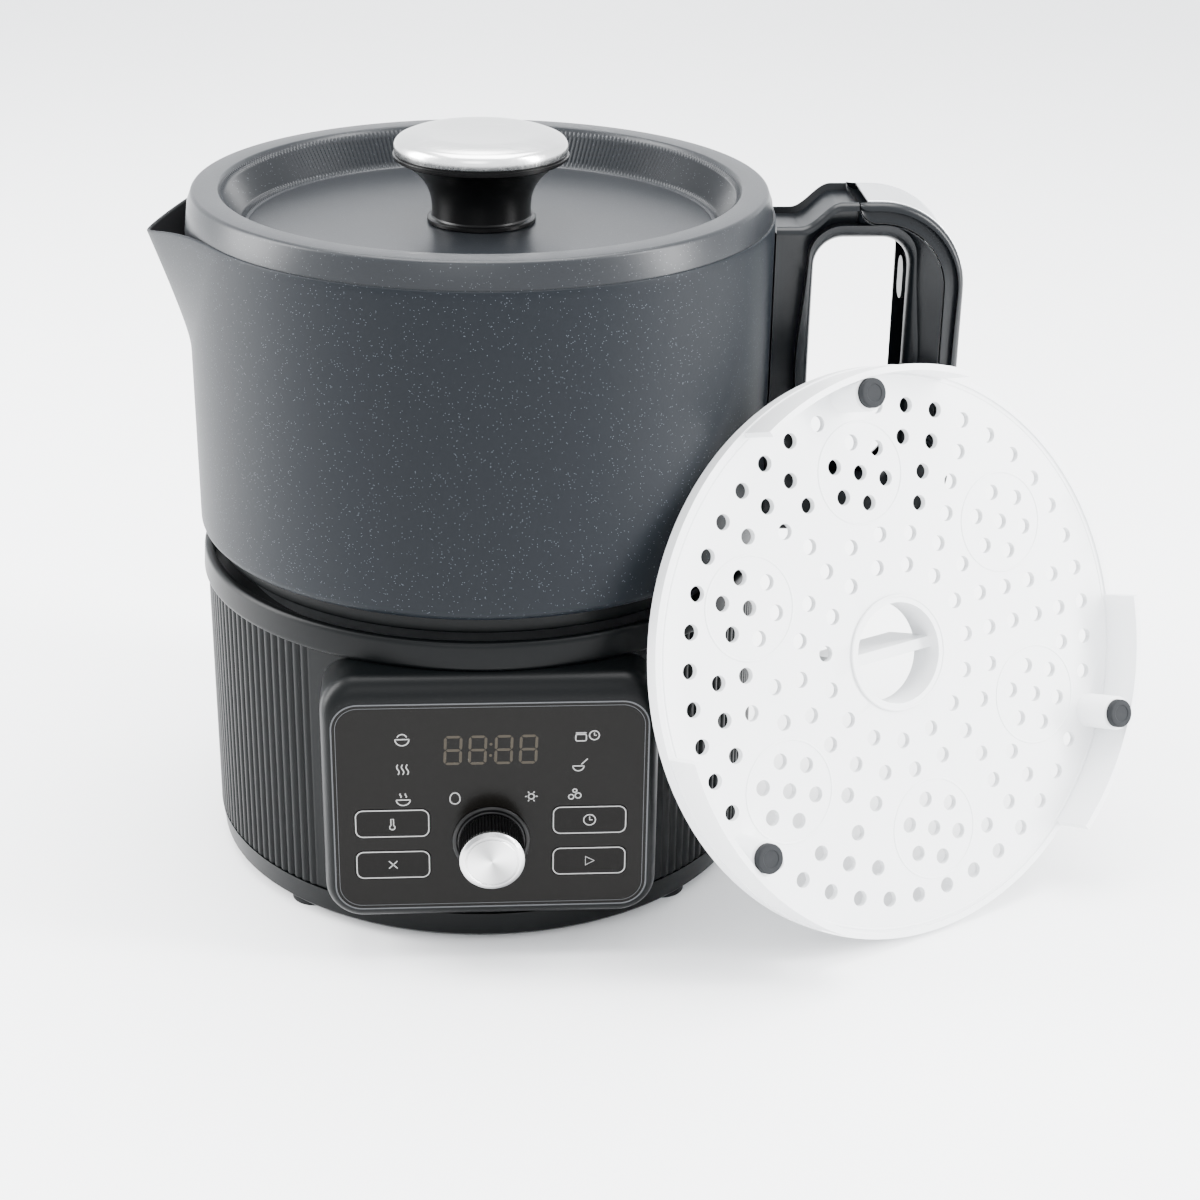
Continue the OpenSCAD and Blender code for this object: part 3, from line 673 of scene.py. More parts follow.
@dataclass(frozen=True)
class CastMetal:
    """Cast or zinc-plated metal with a soft mottle."""

    name: str
    colour: Colour
    roughness: float = 0.5
    mottle: float = 300.0

    def make(self) -> bpy.types.Material:
        """Two sizes of noise give the mottle and a pitted bump."""
        r = Recipe(self.name)
        coarse, fine = r.noise(self.mottle, 3.0), r.noise(1800.0, 2.0)
        colour = r.shades(coarse, varied(self.colour, 0.82), varied(self.colour, 1.12))
        rough = self.roughness + 0.2 * (coarse - 0.5)
        pits = r.bump(coarse + fine, 0.3, 0.00008)
        return r.done(Base_Color=colour, Roughness=rough, Metallic=0.9, Normal=pits)


@dataclass(frozen=True)
class CircuitBoard:
    """Green solder mask over copper tracks."""

    name: str
    colour: Colour

    def make(self) -> bpy.types.Material:
        """Tracks are the thin borders between square cells, lighter than the mask."""
        r = Recipe(self.name)
        cells = r.add(
            "ShaderNodeTexVoronoi", {"feature": "DISTANCE_TO_EDGE", "distance": "EUCLIDEAN"},
            {"Vector": r.place(), "Scale": 190.0, "Randomness": 0.25}, "Distance",
        )
        track = cells < 0.06
        colour = r.shades(track, self.colour, varied(self.colour, 1.9))
        rough = 0.35 + 0.1 * r.noise(400.0)
        return r.done(Base_Color=colour, Roughness=rough, Normal=r.bump(track, 0.3, 0.00005))


@lru_cache(maxsize=None)
def material_of(finish: "Finish") -> bpy.types.Material:
    """The material of a finish, made once."""
    return finish.make()


Finish = Union[FleckPaint, Plastic, BrushedMetal, SpunMetal, CastMetal, CircuitBoard]

POT_PAINT = FleckPaint(
    "pot_paint", (0.0038, 0.0052, 0.0070), (0.17, 0.19, 0.22), 0.46, 0.1, shine=0.12, lined=True)
LID_PAINT = FleckPaint("lid_paint", (0.0085, 0.0097, 0.0115), (0.16, 0.17, 0.19), 0.34, 0.2, shine=0.3)
HOUSING = Plastic("housing_black", (0.0012, 0.0016, 0.0018), 0.36, 0.1, shine=0.1)
PANEL_GLOSS = Plastic("panel_gloss", (0.0026, 0.0023, 0.0019), 0.22, 0.01, shine=0.09)
BUTTON_GLOSS = Plastic("button_gloss", (0.0022, 0.0019, 0.0016), 0.24, 0.01, shine=0.08)
HANDLE_SLATE = Plastic("handle_slate", (0.0026, 0.0034, 0.0044), 0.3, 0.12, shine=0.22)
KNOB_BLACK = Plastic("knob_black", (0.0010, 0.0010, 0.0011), 0.3, 0.06, shine=0.22)
RUBBER = Plastic("foot_rubber", (0.006, 0.0065, 0.007), 0.75, 0.3, 1500.0, 0.12, shine=0.2)
RUBBER_LIGHT = Plastic("foot_rubber_light", (0.012, 0.013, 0.0145), 0.8, 0.3, 1500.0, 0.12, shine=0.2)
SILICONE = Plastic("seal_silicone", (0.40, 0.40, 0.385), 0.5, 0.1, 1200.0, 0.03, 0.2)
TRAY_WHITE = Plastic("tray_white", (0.80, 0.81, 0.82), 0.4, 0.05, 1600.0, 0.012, 0.03, 0.4)
WHITE_INK = Plastic("white_ink", (0.22, 0.22, 0.215), 0.5, 0.0, 3000.0, 0.04)
AMBER_INK = Plastic("amber_segments", (0.0155, 0.0108, 0.0040), 0.35, 0.0, 3000.0, 0.2, shine=0.25)
DARK_GLASS = Plastic("display_glass", (0.003, 0.0027, 0.002), 0.12, 0.0, shine=0.4)
TRIM = BrushedMetal("panel_trim", (0.060, 0.062, 0.065), roughness=0.35)
CAP_STEEL = BrushedMetal("cap_steel", (0.80, 0.80, 0.79), (25.0, 2600.0, 900.0), 0.24, 0.12)
INLAY_METAL = BrushedMetal("inlay_metal", (0.86, 0.87, 0.88), (3500.0, 60.0, 3500.0), 0.34, 0.1)
LID_STEEL = BrushedMetal("lid_steel", (0.72, 0.73, 0.74), (80.0, 2600.0, 900.0), 0.3, 0.12)
HEATER = CastMetal("heater_cast", (0.10, 0.105, 0.11), 0.55)
STEEL = CastMetal("screw_steel", (0.42, 0.43, 0.44), 0.35, 900.0)
BOARD = CircuitBoard("board_green", (0.012, 0.10, 0.045))


class Body(Enum):
    """The moving groups of the frame."""

    BASE = "base"
    DIAL = "dial"
    POT = "pot"
    LID = "lid"
    TRAY = "tray"


def fit(
    piece: bpy.types.Object, body: str, finish: Finish, replaces: Sequence[str] = ()
) -> bpy.types.Object:
    """Gives a piece its finish and its body, and reports it.

    Args:
        piece: the new object.
        body: the CAD body that it rides on.
        finish: its finish.
        replaces: CAD nodes that it stands for.

    Returns:
        The same object.
    """
    piece.data.materials.clear()
    piece.data.materials.append(material_of(finish))
    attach(piece, body)
    if replaces:
        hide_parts(*replaces)
    log.info("piece %s on %s, %d faces", piece.name, body, len(piece.data.polygons))
    return piece


# ---- Base ----

@dataclass
class Base:
    """The heating base: fluted housing, top ring, skirt, feet, heater and inlet."""

    flutes: int = 172
    flute_depth: float = 0.9
    rib_power: float = 0.6
    panel_reach: float = 0.635
    wall: float = 2.6
    window_half: Tuple[float, float] = (46.0, 34.0)
    socket_play: float = 0.3
    socket_half: float = 12.0
    ring_edge: float = 1.8
    well_lip: float = 3.4
    well_deep: float = 2.2
    well_hole: float = 66.0

    def flute(self, angle: Array) -> Array:
        """How far the surface lies inside the outer radius: round ribs between narrow grooves.

        The rib is |sin(n a / 2)| to the rib's power. Within the panel's reach, which is a chord
        over the radius, it fades to half the depth.
        """
        rib = np.abs(np.sin(angle * self.flutes / 2)) ** self.rib_power
        across = np.abs(np.sin((angle - 1.5 * math.pi) / 2)) * 2
        fade = np.clip((across - self.panel_reach) / 0.02, 0, 1)
        return self.flute_depth * (fade * (1 - rib) + (1 - fade) * 0.5)

    def build_housing(self) -> Surface:
        """The wall r = R - flute(a) outside and a plain cylinder inside, open at panel and inlet."""
        box = Extent.of("base_shell")
        radius = box.size[1] / 2
        inlet, panel = Extent.of("power_inlet"), Extent.of("panel_plate")
        wide, tall = self.window_half
        window = math.asin(wide / radius)
        socket = math.asin((inlet.size[0] / 2 + self.socket_play) / (radius - 1.0))
        back, front = math.pi / 2, 1.5 * math.pi
        breaks = [0.0, back - socket, back + socket, front - window, front + window, TAU]
        angle = spread(breaks, TAU / self.flutes / 8)[:-1]
        low, high = box.low[2], box.high[2]
        z_in, z_out = inlet.middle[2] - self.socket_half, inlet.middle[2] + self.socket_half
        height = np.array([low, low + 0.5, panel.low[2] + 1, z_in, z_out, panel.high[2] - 1, high - 0.5, high])
        edge = np.array([0.4, 0, 0, 0, 0, 0, 0, 0.4])
        r_out = radius - self.flute(angle)[:, None] - edge[None, :]
        r_in = np.full_like(r_out, radius - self.flute_depth - self.wall)
        around = np.stack([np.cos(angle), np.sin(angle)], -1)[:, None, :]
        level = np.broadcast_to(height[None, :, None], r_out.shape + (1,))
        mid_angle, mid_height = angle[:, None] + 1e-4, (height[None, 1:] + height[None, :-1]) / 2
        off_panel, off_inlet = (np.abs(mid_height - node.middle[2]) for node in (panel, inlet))
        in_window = (np.abs(mid_angle - front) < window) & (off_panel < tall)
        in_socket = (np.abs(mid_angle - back) < socket) & (off_inlet < self.socket_half)
        outer, inner = (np.concatenate([around * r[..., None], level], -1) for r in (r_out, r_in))
        return walled(outer, inner, ~(in_window | in_socket))

    def build_ring(self) -> Surface:
        """The smooth ring: its profile turned about Z, a soft outer edge and a step into the well."""
        box = Extent.of("top_ring")
        radius, low, high = box.size[1] / 2, box.low[2], box.high[2]
        well_r, well_z, hole = radius - self.well_lip, low + self.well_deep, self.well_hole
        profile = filleted(np.array([
            [hole, low], [radius - 0.5, low], [radius, low + 0.7], [radius - 0.5, high], [well_r, high],
            [well_r, well_z], [hole, well_z],
        ]), np.array([0.3, 0.3, 0.8, self.ring_edge, 0.9, 1.0, 0.3]), 6)
        return lathe(profile, 256)

    def build(self) -> None:
        """Builds the housing and the ring, and dresses the CAD nodes that stay."""
        base = Body.BASE.value
        fit(self.build_housing().build("housing_fluted", 28), base, HOUSING, ["base_shell"])
        fit(self.build_ring().build("ring_top"), base, HOUSING, ["top_ring"])
        dress_nodes({
            "bottom_cover": HOUSING, "base_feet": RUBBER, "bottom_screws": STEEL, "heater_plate": HEATER,
            "heater_collar": HEATER, "heating_element": STEEL, "temperature_sensor": STEEL,
            "control_board": BOARD, "power_board": BOARD, "display_module": DARK_GLASS, "encoder": STEEL,
            "power_inlet": HOUSING,
        })


def dress_nodes(finishes: Dict[str, Finish]) -> None:
    """Puts finishes on CAD nodes through their material slots.

    Args:
        finishes: CAD node name to its finish.
    """
    for node, finish in finishes.items():
        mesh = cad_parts[node].data
        mesh.materials.clear()
        mesh.materials.append(material_of(finish))
        log.info("node %s dressed as %s", node, finish.name)


# ---- Control panel ----

# From a flat drawing (x, y, out) to the front of the base: x stays, y goes up and out goes to -Y
UPRIGHT = np.array([[1, 0, 0], [0, 0, -1], [0, 1, 0]])


class Mark(Enum):
    """The plain pictograms of the panel."""

    BOWL = "bowl"
    STEAM = "steam"
    SOUP = "soup"
    EGG = "egg"
    WARM = "warm"
    BUBBLES = "bubbles"
    SPOON = "spoon"
    POT_CLOCK = "pot_clock"
    HEAT = "heat"
    CROSS = "cross"
    CLOCK = "clock"
    GO = "go"


def wave(x: float, low: float, high: float, swing: float = 0.35) -> Array:
    """A rising line that sways once: x + s sin(2 pi t)."""
    t = np.linspace(0, 1, 13)
    return np.stack([x + swing * np.sin(TAU * t), low + (high - low) * t], -1)


def mark_lines(mark: Mark) -> List[Tuple[Array, bool]]:
    """The lines of a pictogram about 4 mm high, centred on the origin.

    Args:
        mark: which pictogram.

    Returns:
        Pairs of a path and whether it is closed.
    """
    bowl = np.concatenate([arc(0, 0.1, 2.1, 180, 360, 15), [[2.1, 0.1], [-2.1, 0.1]]])
    circle = arc(0, 0, 1.9, 0, 352, 28)
    drawings: Dict[Mark, List[Tuple[Array, bool]]] = {
        Mark.BOWL: [(bowl, True), (arc(0, 0.3, 1.5, 20, 160, 11), False)],
        Mark.STEAM: [(wave(x, -1.7, 1.7), False) for x in (-1.4, 0.0, 1.4)],
        Mark.SOUP: [(bowl * [1, 0.9] - [0, 0.3], True)] + [
            (wave(x, 0.6, 2.0, 0.2), False) for x in (-0.8, 0.8)],
        Mark.EGG: [(circle * [0.78, 1.0] * (1 + np.clip(-circle[:, 1:], 0, 9) * [0.1, 0.0]), True)],
        Mark.WARM: [(arc(0, -0.2, 0.9, 0, 345, 20), True)] + [
            (np.array([[1.3, 0], [1.9, 0]]) @ turn(a) - [0, 0.2], False) for a in range(0, 360, 60)],
        Mark.BUBBLES: [(arc(x, y, s, 0, 340, 14), True)
                       for x, y, s in ((-1.2, -0.9, 0.8), (0.9, -0.5, 0.9), (-0.1, 1.2, 0.6))],
        Mark.SPOON: [(bowl * 0.8 - [0.6, 0.6], True), (line([0.3, 0.0], [2.2, 1.9], 3), False)],
        Mark.POT_CLOCK: [(rounded(3.2, 2.2, 0.5, 4) - [0.4, 0.7], True),
                         (line([-2.0, 0.9], [1.2, 0.9], 3), False), (arc(3.6, 0, 1.5, 0, 350, 20), True),
                         (np.array([[3.6, 0.9], [3.6, 0], [4.3, 0]]), False)],
        Mark.HEAT: [(arc(0, -1.3, 0.8, 118, 422, 20), False),
                    (np.array([[-0.4, -0.6], [-0.4, 1.6], [0.4, 1.6], [0.4, -0.6]]), False)],
        Mark.CROSS: [(line([-1.3, y], [1.3, -y], 3), False) for y in (-1.3, 1.3)],
        Mark.CLOCK: [(circle * 0.95, True), (np.array([[0, 1.1], [0, 0], [0.9, 0]]), False)],
        Mark.GO: [(np.array([[-1.1, 1.5], [-1.1, -1.5], [1.6, 0]]), True)],
    }
    return drawings[mark]


def turn(degrees: float) -> Array:
    """A 2 by 2 matrix that turns row vectors by an angle."""
    a = math.radians(degrees)
    return np.array([[math.cos(a), math.sin(a)], [-math.sin(a), math.cos(a)]])


def drawn(mark: Mark, x: float, y: float, width: float = 0.36, height: float = 0.05) -> Surface:
    """A pictogram printed at a place on the panel."""
    surface = Surface()
    for path, closed in mark_lines(mark):
        surface.join(stroke(path + [x, y], width, -0.05, height, closed))
    return surface


@dataclass
class Panel:
    """The raised bezel, the glossy plate with its prints, and the four buttons."""

    rim_round: float = 6.0
    bezel_corner: float = 12.0
    plate_corner: float = 8.1
    hole_corner: float = 6.0
    corner_steps: int = 14
    housing_r: float = 89.2
    trim_width: float = 0.45
    line_inset: float = 2.2
    digit_w: float = 4.7
    digit_h: float = 9.0
    digit_bar: float = 0.85
    digit_pitch: float = 7.0
    digit_up: float = 19.5
    digit_slant: float = 0.04

    def build_bezel(self) -> Surface:
        """A frame whose section runs from the housing over a quarter ellipse to the plate.

        The outline goes from the bezel's outer rounded rectangle to the plate's as (1 - f) P + f Q,
        with f = 1 - cos a and depth falling as sin a.
        """
        bezel, plate = Extent.of("panel_bezel"), Extent.of("panel_plate")
        front, start = -plate.low[1], -plate.low[1] - self.rim_round
        (wide, _, tall), steps = plate.size, self.corner_steps
        outer = rounded(bezel.size[0], bezel.size[2], self.bezel_corner, steps) + [0, bezel.middle[2]]
        ledge = rounded(wide + 0.3, tall + 0.3, self.plate_corner, steps) + [0, plate.middle[2]]
        hole = rounded(wide - 9, tall - 4, self.hole_corner, steps) + [0, plate.middle[2]]
        back = np.sqrt(self.housing_r**2 - outer[:, 0] ** 2)
        rows = [(outer, back), (outer, np.maximum(back, start - 1.0))]
        for a in np.radians(np.linspace(0, 90, 10)):
            depth = np.maximum(back, start) * (1 - math.sin(a)) + front * math.sin(a)
            rows.append((outer + (ledge - outer) * (1 - math.cos(a)), depth))
        deep = -plate.high[1]
        rows += [(ledge, np.full(len(outer), v)) for v in (front - 0.25, deep)]
        rows += [(hole, np.full(len(outer), v)) for v in (deep, deep - 4.0)]
        inner_back = np.minimum(np.sqrt((self.housing_r - 1) ** 2 - hole[:, 0] ** 2), deep - 4.0)
        rows.append((hole, inner_back - 0.5))
        cells = np.stack([np.concatenate([flat, depth[:, None]], -1) for flat, depth in rows], 1)
        cells = np.stack([cells[..., 0], -cells[..., 2], cells[..., 1]], -1)
        return Surface().grid(cells, wrap_u=True, wrap_v=True)

    def on_plate(self, surface: Surface, out: float = 0.0) -> Surface:
        """Stands a flat drawing, measured from the plate's middle, up on the plate's face."""
        plate = Extent.of("panel_plate")
        return surface.moved(UPRIGHT, (0, plate.low[1] - out, plate.middle[2]))

    def build_trim(self) -> Surface:
        """Two fine lines round the plate: one in the joint, one just inside its edge."""
        plate = Extent.of("panel_plate")
        w, h, steps, inset = plate.size[0], plate.size[2], self.corner_steps, self.line_inset
        surface = stroke(rounded(w + 0.2, h + 0.2, self.plate_corner, steps), self.trim_width, -0.3, 0.12, True)
        inside = rounded(w - inset, h - inset, 6.9, steps)
        return self.on_plate(surface.join(stroke(inside, 0.16, -0.05, 0.03, True)))

    def build_digits(self) -> Surface:
        """Four seven-segment figures and a colon: each segment is a six-sided bar."""
        w, h, t = self.digit_w, self.digit_h, self.digit_bar
        bar = np.array([[-0.5, 0], [-0.36, 0.5], [0.36, 0.5], [0.5, 0], [0.36, -0.5], [-0.36, -0.5]])
        flat = bar * [w - 0.25, t]
        tall = bar[:, ::-1] * [t, h / 2 - 0.25]
        level = [flat + [0, y] for y in (-h / 2, 0, h / 2)]
        figure = np.stack(level + [tall + [x, y] for x in (-w / 2, w / 2) for y in (-h / 4, h / 4)])
        places = np.array([-1.62, -0.56, 0.56, 1.62]) * self.digit_pitch
        figures = np.concatenate([figure + [x, 0] for x in places])
        dots = np.stack([arc(0, y, 0.5, 0, 300, 6) for y in (-1.9, 1.9)])
        outlines = np.concatenate([figures, dots])
        outlines = outlines + [0, self.digit_up] + outlines[..., 1:] * [self.digit_slant, 0.0]
        return self.on_plate(prisms(outlines, -0.05, 0.02))

    def build_marks(self) -> Surface:
        """The eight programme marks in two columns and a row under the display."""
        places = [
            (Mark.BOWL, -26.5, 23.4), (Mark.STEAM, -26.5, 13.3), (Mark.SOUP, -26.5, 3.1),
            (Mark.EGG, -10.9, 3.1), (Mark.WARM, 12.2, 3.5), (Mark.BUBBLES, 25.5, 3.8),
            (Mark.SPOON, 27.0, 14.0), (Mark.POT_CLOCK, 27.5, 23.8),
        ]
        surface = Surface()
        for mark, x, y in places:
            surface.join(drawn(mark, x, y))
        return self.on_plate(surface)

    def build_button(self, node: str, mark: Mark) -> Surface:
        """A button's printed border and its mark, just proud of its face."""
        box = Extent.of(node)
        border = stroke(rounded(box.size[0] - 0.5, box.size[2] - 0.5, 2.2, 8), 0.36, -0.05, 0.05, True)
        border.join(drawn(mark, 0, 0, 0.34))
        return border.moved(UPRIGHT, (box.middle[0], box.low[1], box.middle[2]))

    def build(self) -> None:
        """Builds the bezel and the prints and dresses the plate and the buttons."""
        base = Body.BASE.value
        fit(self.build_bezel().build("bezel_frame"), base, HOUSING, ["panel_bezel"])
        fit(self.build_trim().build("panel_trim_lines"), base, TRIM)
        fit(self.build_digits().build("display_figures"), base, AMBER_INK)
        fit(self.build_marks().build("panel_marks"), base, WHITE_INK)
        marks = {
            "button_upper_left": Mark.HEAT, "button_lower_left": Mark.CROSS,
            "button_upper_right": Mark.CLOCK, "button_lower_right": Mark.GO,
        }
        for node, mark in marks.items():
            surface = self.build_button(node, mark)
            fit(surface.build(node + "_print"), node + "_body", WHITE_INK)
        dress_nodes({"panel_plate": PANEL_GLOSS, **{node: BUTTON_GLOSS for node in marks}})


@dataclass
class Dial:
    """The selector: collar ring, knurled body and spun metal face, all turned about the same axis."""

    ribs: int = 60
    rib_depth: float = 0.5

    def centre(self) -> Array:
        """The point where the dial's axis meets the panel."""
        face = Extent.of("dial_face")
        return np.array([face.middle[0], Extent.of("panel_plate").low[1], face.middle[2]])

    def stand(self, surface: Surface) -> Surface:
        """Stands a shape made about Z out of the panel."""
        return surface.moved(UPRIGHT, self.centre())

    def build_ring(self) -> Surface:
        """The collar: a low ring with a soft edge and a groove."""
        box = Extent.of("dial_ring")
        r, h = box.size[0] / 2, box.size[1]
        profile = filleted(np.array([
            [r - 4.8, 0], [r, 0], [r, h * 0.6], [r - 0.5, h], [r - 1.3, h], [r - 1.5, h - 0.3], [r - 1.8, h],
            [r - 4.8, h],
        ]), 0.15, 4)
        return self.stand(lathe(profile, 160))

    @staticmethod
    def depths(box: Extent) -> Tuple[float, float]:
        """How far the back and the front of a node stand out from the panel's face."""
        face = Extent.of("panel_plate").low[1]
        return face - box.high[1], face - box.low[1]

    def build_body(self) -> Surface:
        """The knurl, over the shaft's bore: the radius falls by d (1 - |sin(n a / 2)|^0.7)."""
        box = Extent.of("dial_body")
        r, (low, high) = box.size[2] / 2, self.depths(box)
        shaft = Extent.of("dial_shaft").size[0] / 2 + 0.02
        profile = np.concatenate([
            [[shaft, low], [r - 1.6, low]], arc(r - 0.8, low + 0.8, 0.8, -90, 0, 5),
            line([r, low + 1.6], [r, high - 1.2], 4), arc(r - 0.5, high - 0.5, 0.5, 0, 90, 5),
            [[0.0, high], [0.0, high - 1.0], [shaft, high - 1.0]],
        ])
        columns = self.ribs * 8
        angle = np.linspace(0, TAU, columns, endpoint=False)[:, None]
        weight = np.clip((profile[:, 0] - (r - 1.2)) / 1.2, 0, 1)[None, :]
        ripple = -self.rib_depth * (1 - np.abs(np.sin(angle * self.ribs / 2)) ** 0.7) * weight
        return self.stand(lathe(profile, columns, ripple=ripple))

    def build_face(self) -> Surface:
        """The face: a bevelled disc with a fine groove inside its rim."""
        box = Extent.of("dial_face")
        r, (low, high) = box.size[0] / 2, self.depths(box)
        profile = np.array([
            [0, low], [r, low], [r, high - 0.9], [r - 0.25, high - 0.6], [r - 1.15, high - 0.02],
            [r - 1.5, high], [r - 1.75, high - 0.05], [r - 1.9, high - 0.22], [r - 2.1, high - 0.22],
            [r - 2.25, high - 0.06], [r - 2.5, high - 0.02], [r * 0.35, high - 0.05], [0, high - 0.06],
        ])
        return self.stand(lathe(profile, 192, closed=False))

    def build(self) -> None:
        """Builds the dial's pieces and dresses its shaft."""
        base, dial = Body.BASE.value, Body.DIAL.value
        spun = SpunMetal("dial_metal", (0.82, 0.82, 0.82), tuple(self.centre() * MM))
        fit(self.build_ring().build("dial_collar"), base, KNOB_BLACK, ["dial_ring"])
        fit(self.build_body().build("dial_knurled"), dial, KNOB_BLACK, ["dial_body"])
        fit(self.build_face().build("dial_disc", 20), dial, spun, ["dial_face"])
        dress_nodes({"dial_shaft": STEEL})


# ---- Pot ----

@dataclass
class Pot:
    """The pouring pot: one wall with a spout drawn out of its rim."""

    wall: float = 1.2
    floor: float = 2.4
    edge: float = 3.0
    spout_height: float = 45.0
    spout_drop: float = 6.5
    spout_half: float = 0.62
    tip_ease: float = 0.035

    def spout(self, angle: Array, height: Array, box: Extent) -> Array:
        """How far the wall stands out from its circle.

        Two straight lines run from the tip and touch the circle: R / cos(half - |a - pi|), where
        cos(half) = R / tip. The tip comes out almost evenly from the foot of the spout to the rim.
        """
        radius = box.high[0]
        tip = radius + (-box.low[0] - radius) * 1.02 * self.lift(height, box) ** 1.08
        half = np.arccos(radius / tip)
        away = np.sqrt((angle - math.pi) ** 2 + self.tip_ease**2)
        return radius / np.cos(np.clip(half - away, 0, None)) - radius

    def lift(self, height: Array, box: Extent) -> Array:
        """How far up the spout a height lies: 0 at its foot and below, 1 at the rim."""
        return np.clip((height - (box.high[2] - self.spout_height)) / self.spout_height, 0, 1)

    def build_shell(self) -> Surface:
        """The pot's profile carried round Z, with the spout added to the radius inside and out.

        Towards the tip the rim falls by the spout's drop times the share of the full reach.
        """
        box = Extent.of("pot_shell")
        radius, low, rim = box.high[0], box.low[2], box.high[2]
        inside, base = radius - self.wall, low + self.floor
        lip = self.wall / 2
        outer = np.concatenate([
            [[0, low], [radius * 0.5, low]], arc(radius - self.edge, low + self.edge, self.edge, -90, 0, 9),
            line([radius, low + 8], [radius, rim - lip], 40), arc(radius - lip, rim - lip, lip, 0, 90, 4),
        ])
        inner = np.concatenate([
            arc(inside + lip, rim - lip, lip, 90, 180, 4),
            line([inside, rim - lip - 0.5], [inside, base + 8], 36),
            arc(inside - self.edge, base + self.edge, self.edge, 0, -90, 7), [[radius * 0.5, base], [0, base]],
        ])
        profile = np.concatenate([outer, inner])
        ends = [math.pi - self.spout_half, math.pi + self.spout_half]
        angle = np.concatenate([spread([0, *ends, TAU], 0.02)[:-1], spread(ends, 0.008)])
        angle = np.unique(angle.round(6))[:, None]
        r, z = profile[None, :, 0], profile[None, :, 1]
        out = self.spout(angle, np.full((1, 1), rim), box)
        r = r + self.spout(angle, z, box) * (r > radius * 0.8)
        z = z - self.spout_drop * self.lift(z, box) * out / out.max()
        tag = np.concatenate([np.zeros(len(outer)), np.ones(len(inner))])
        cells = np.stack([np.cos(angle) * r, np.sin(angle) * r, z], -1)
        return Surface().grid(cells, wrap_u=True, tag=np.broadcast_to(tag[None, :], r.shape))

    def build_locator(self) -> Surface:
        """The black ring under the pot, with eased edges."""
        r, low, high = Extent.of("pot_locating_ring").disc
        corners = np.array([[r - 3.2, low], [r, low], [r, high], [r - 3.2, high]])
        return lathe(filleted(corners, np.array([0.8, 0.8, 0.0, 0.0]), 5), 224)

    def build(self) -> None:
        """Builds the pot and its locating ring."""
        pot = Body.POT.value
        fit(self.build_shell().build("pot_body"), pot, POT_PAINT, ["pot_shell"])
        fit(self.build_locator().build("pot_ring"), pot, HOUSING, ["pot_locating_ring"])
        dress_nodes({"handle_mount": STEEL, "handle_screws": STEEL, "handle_plugs": HANDLE_SLATE})


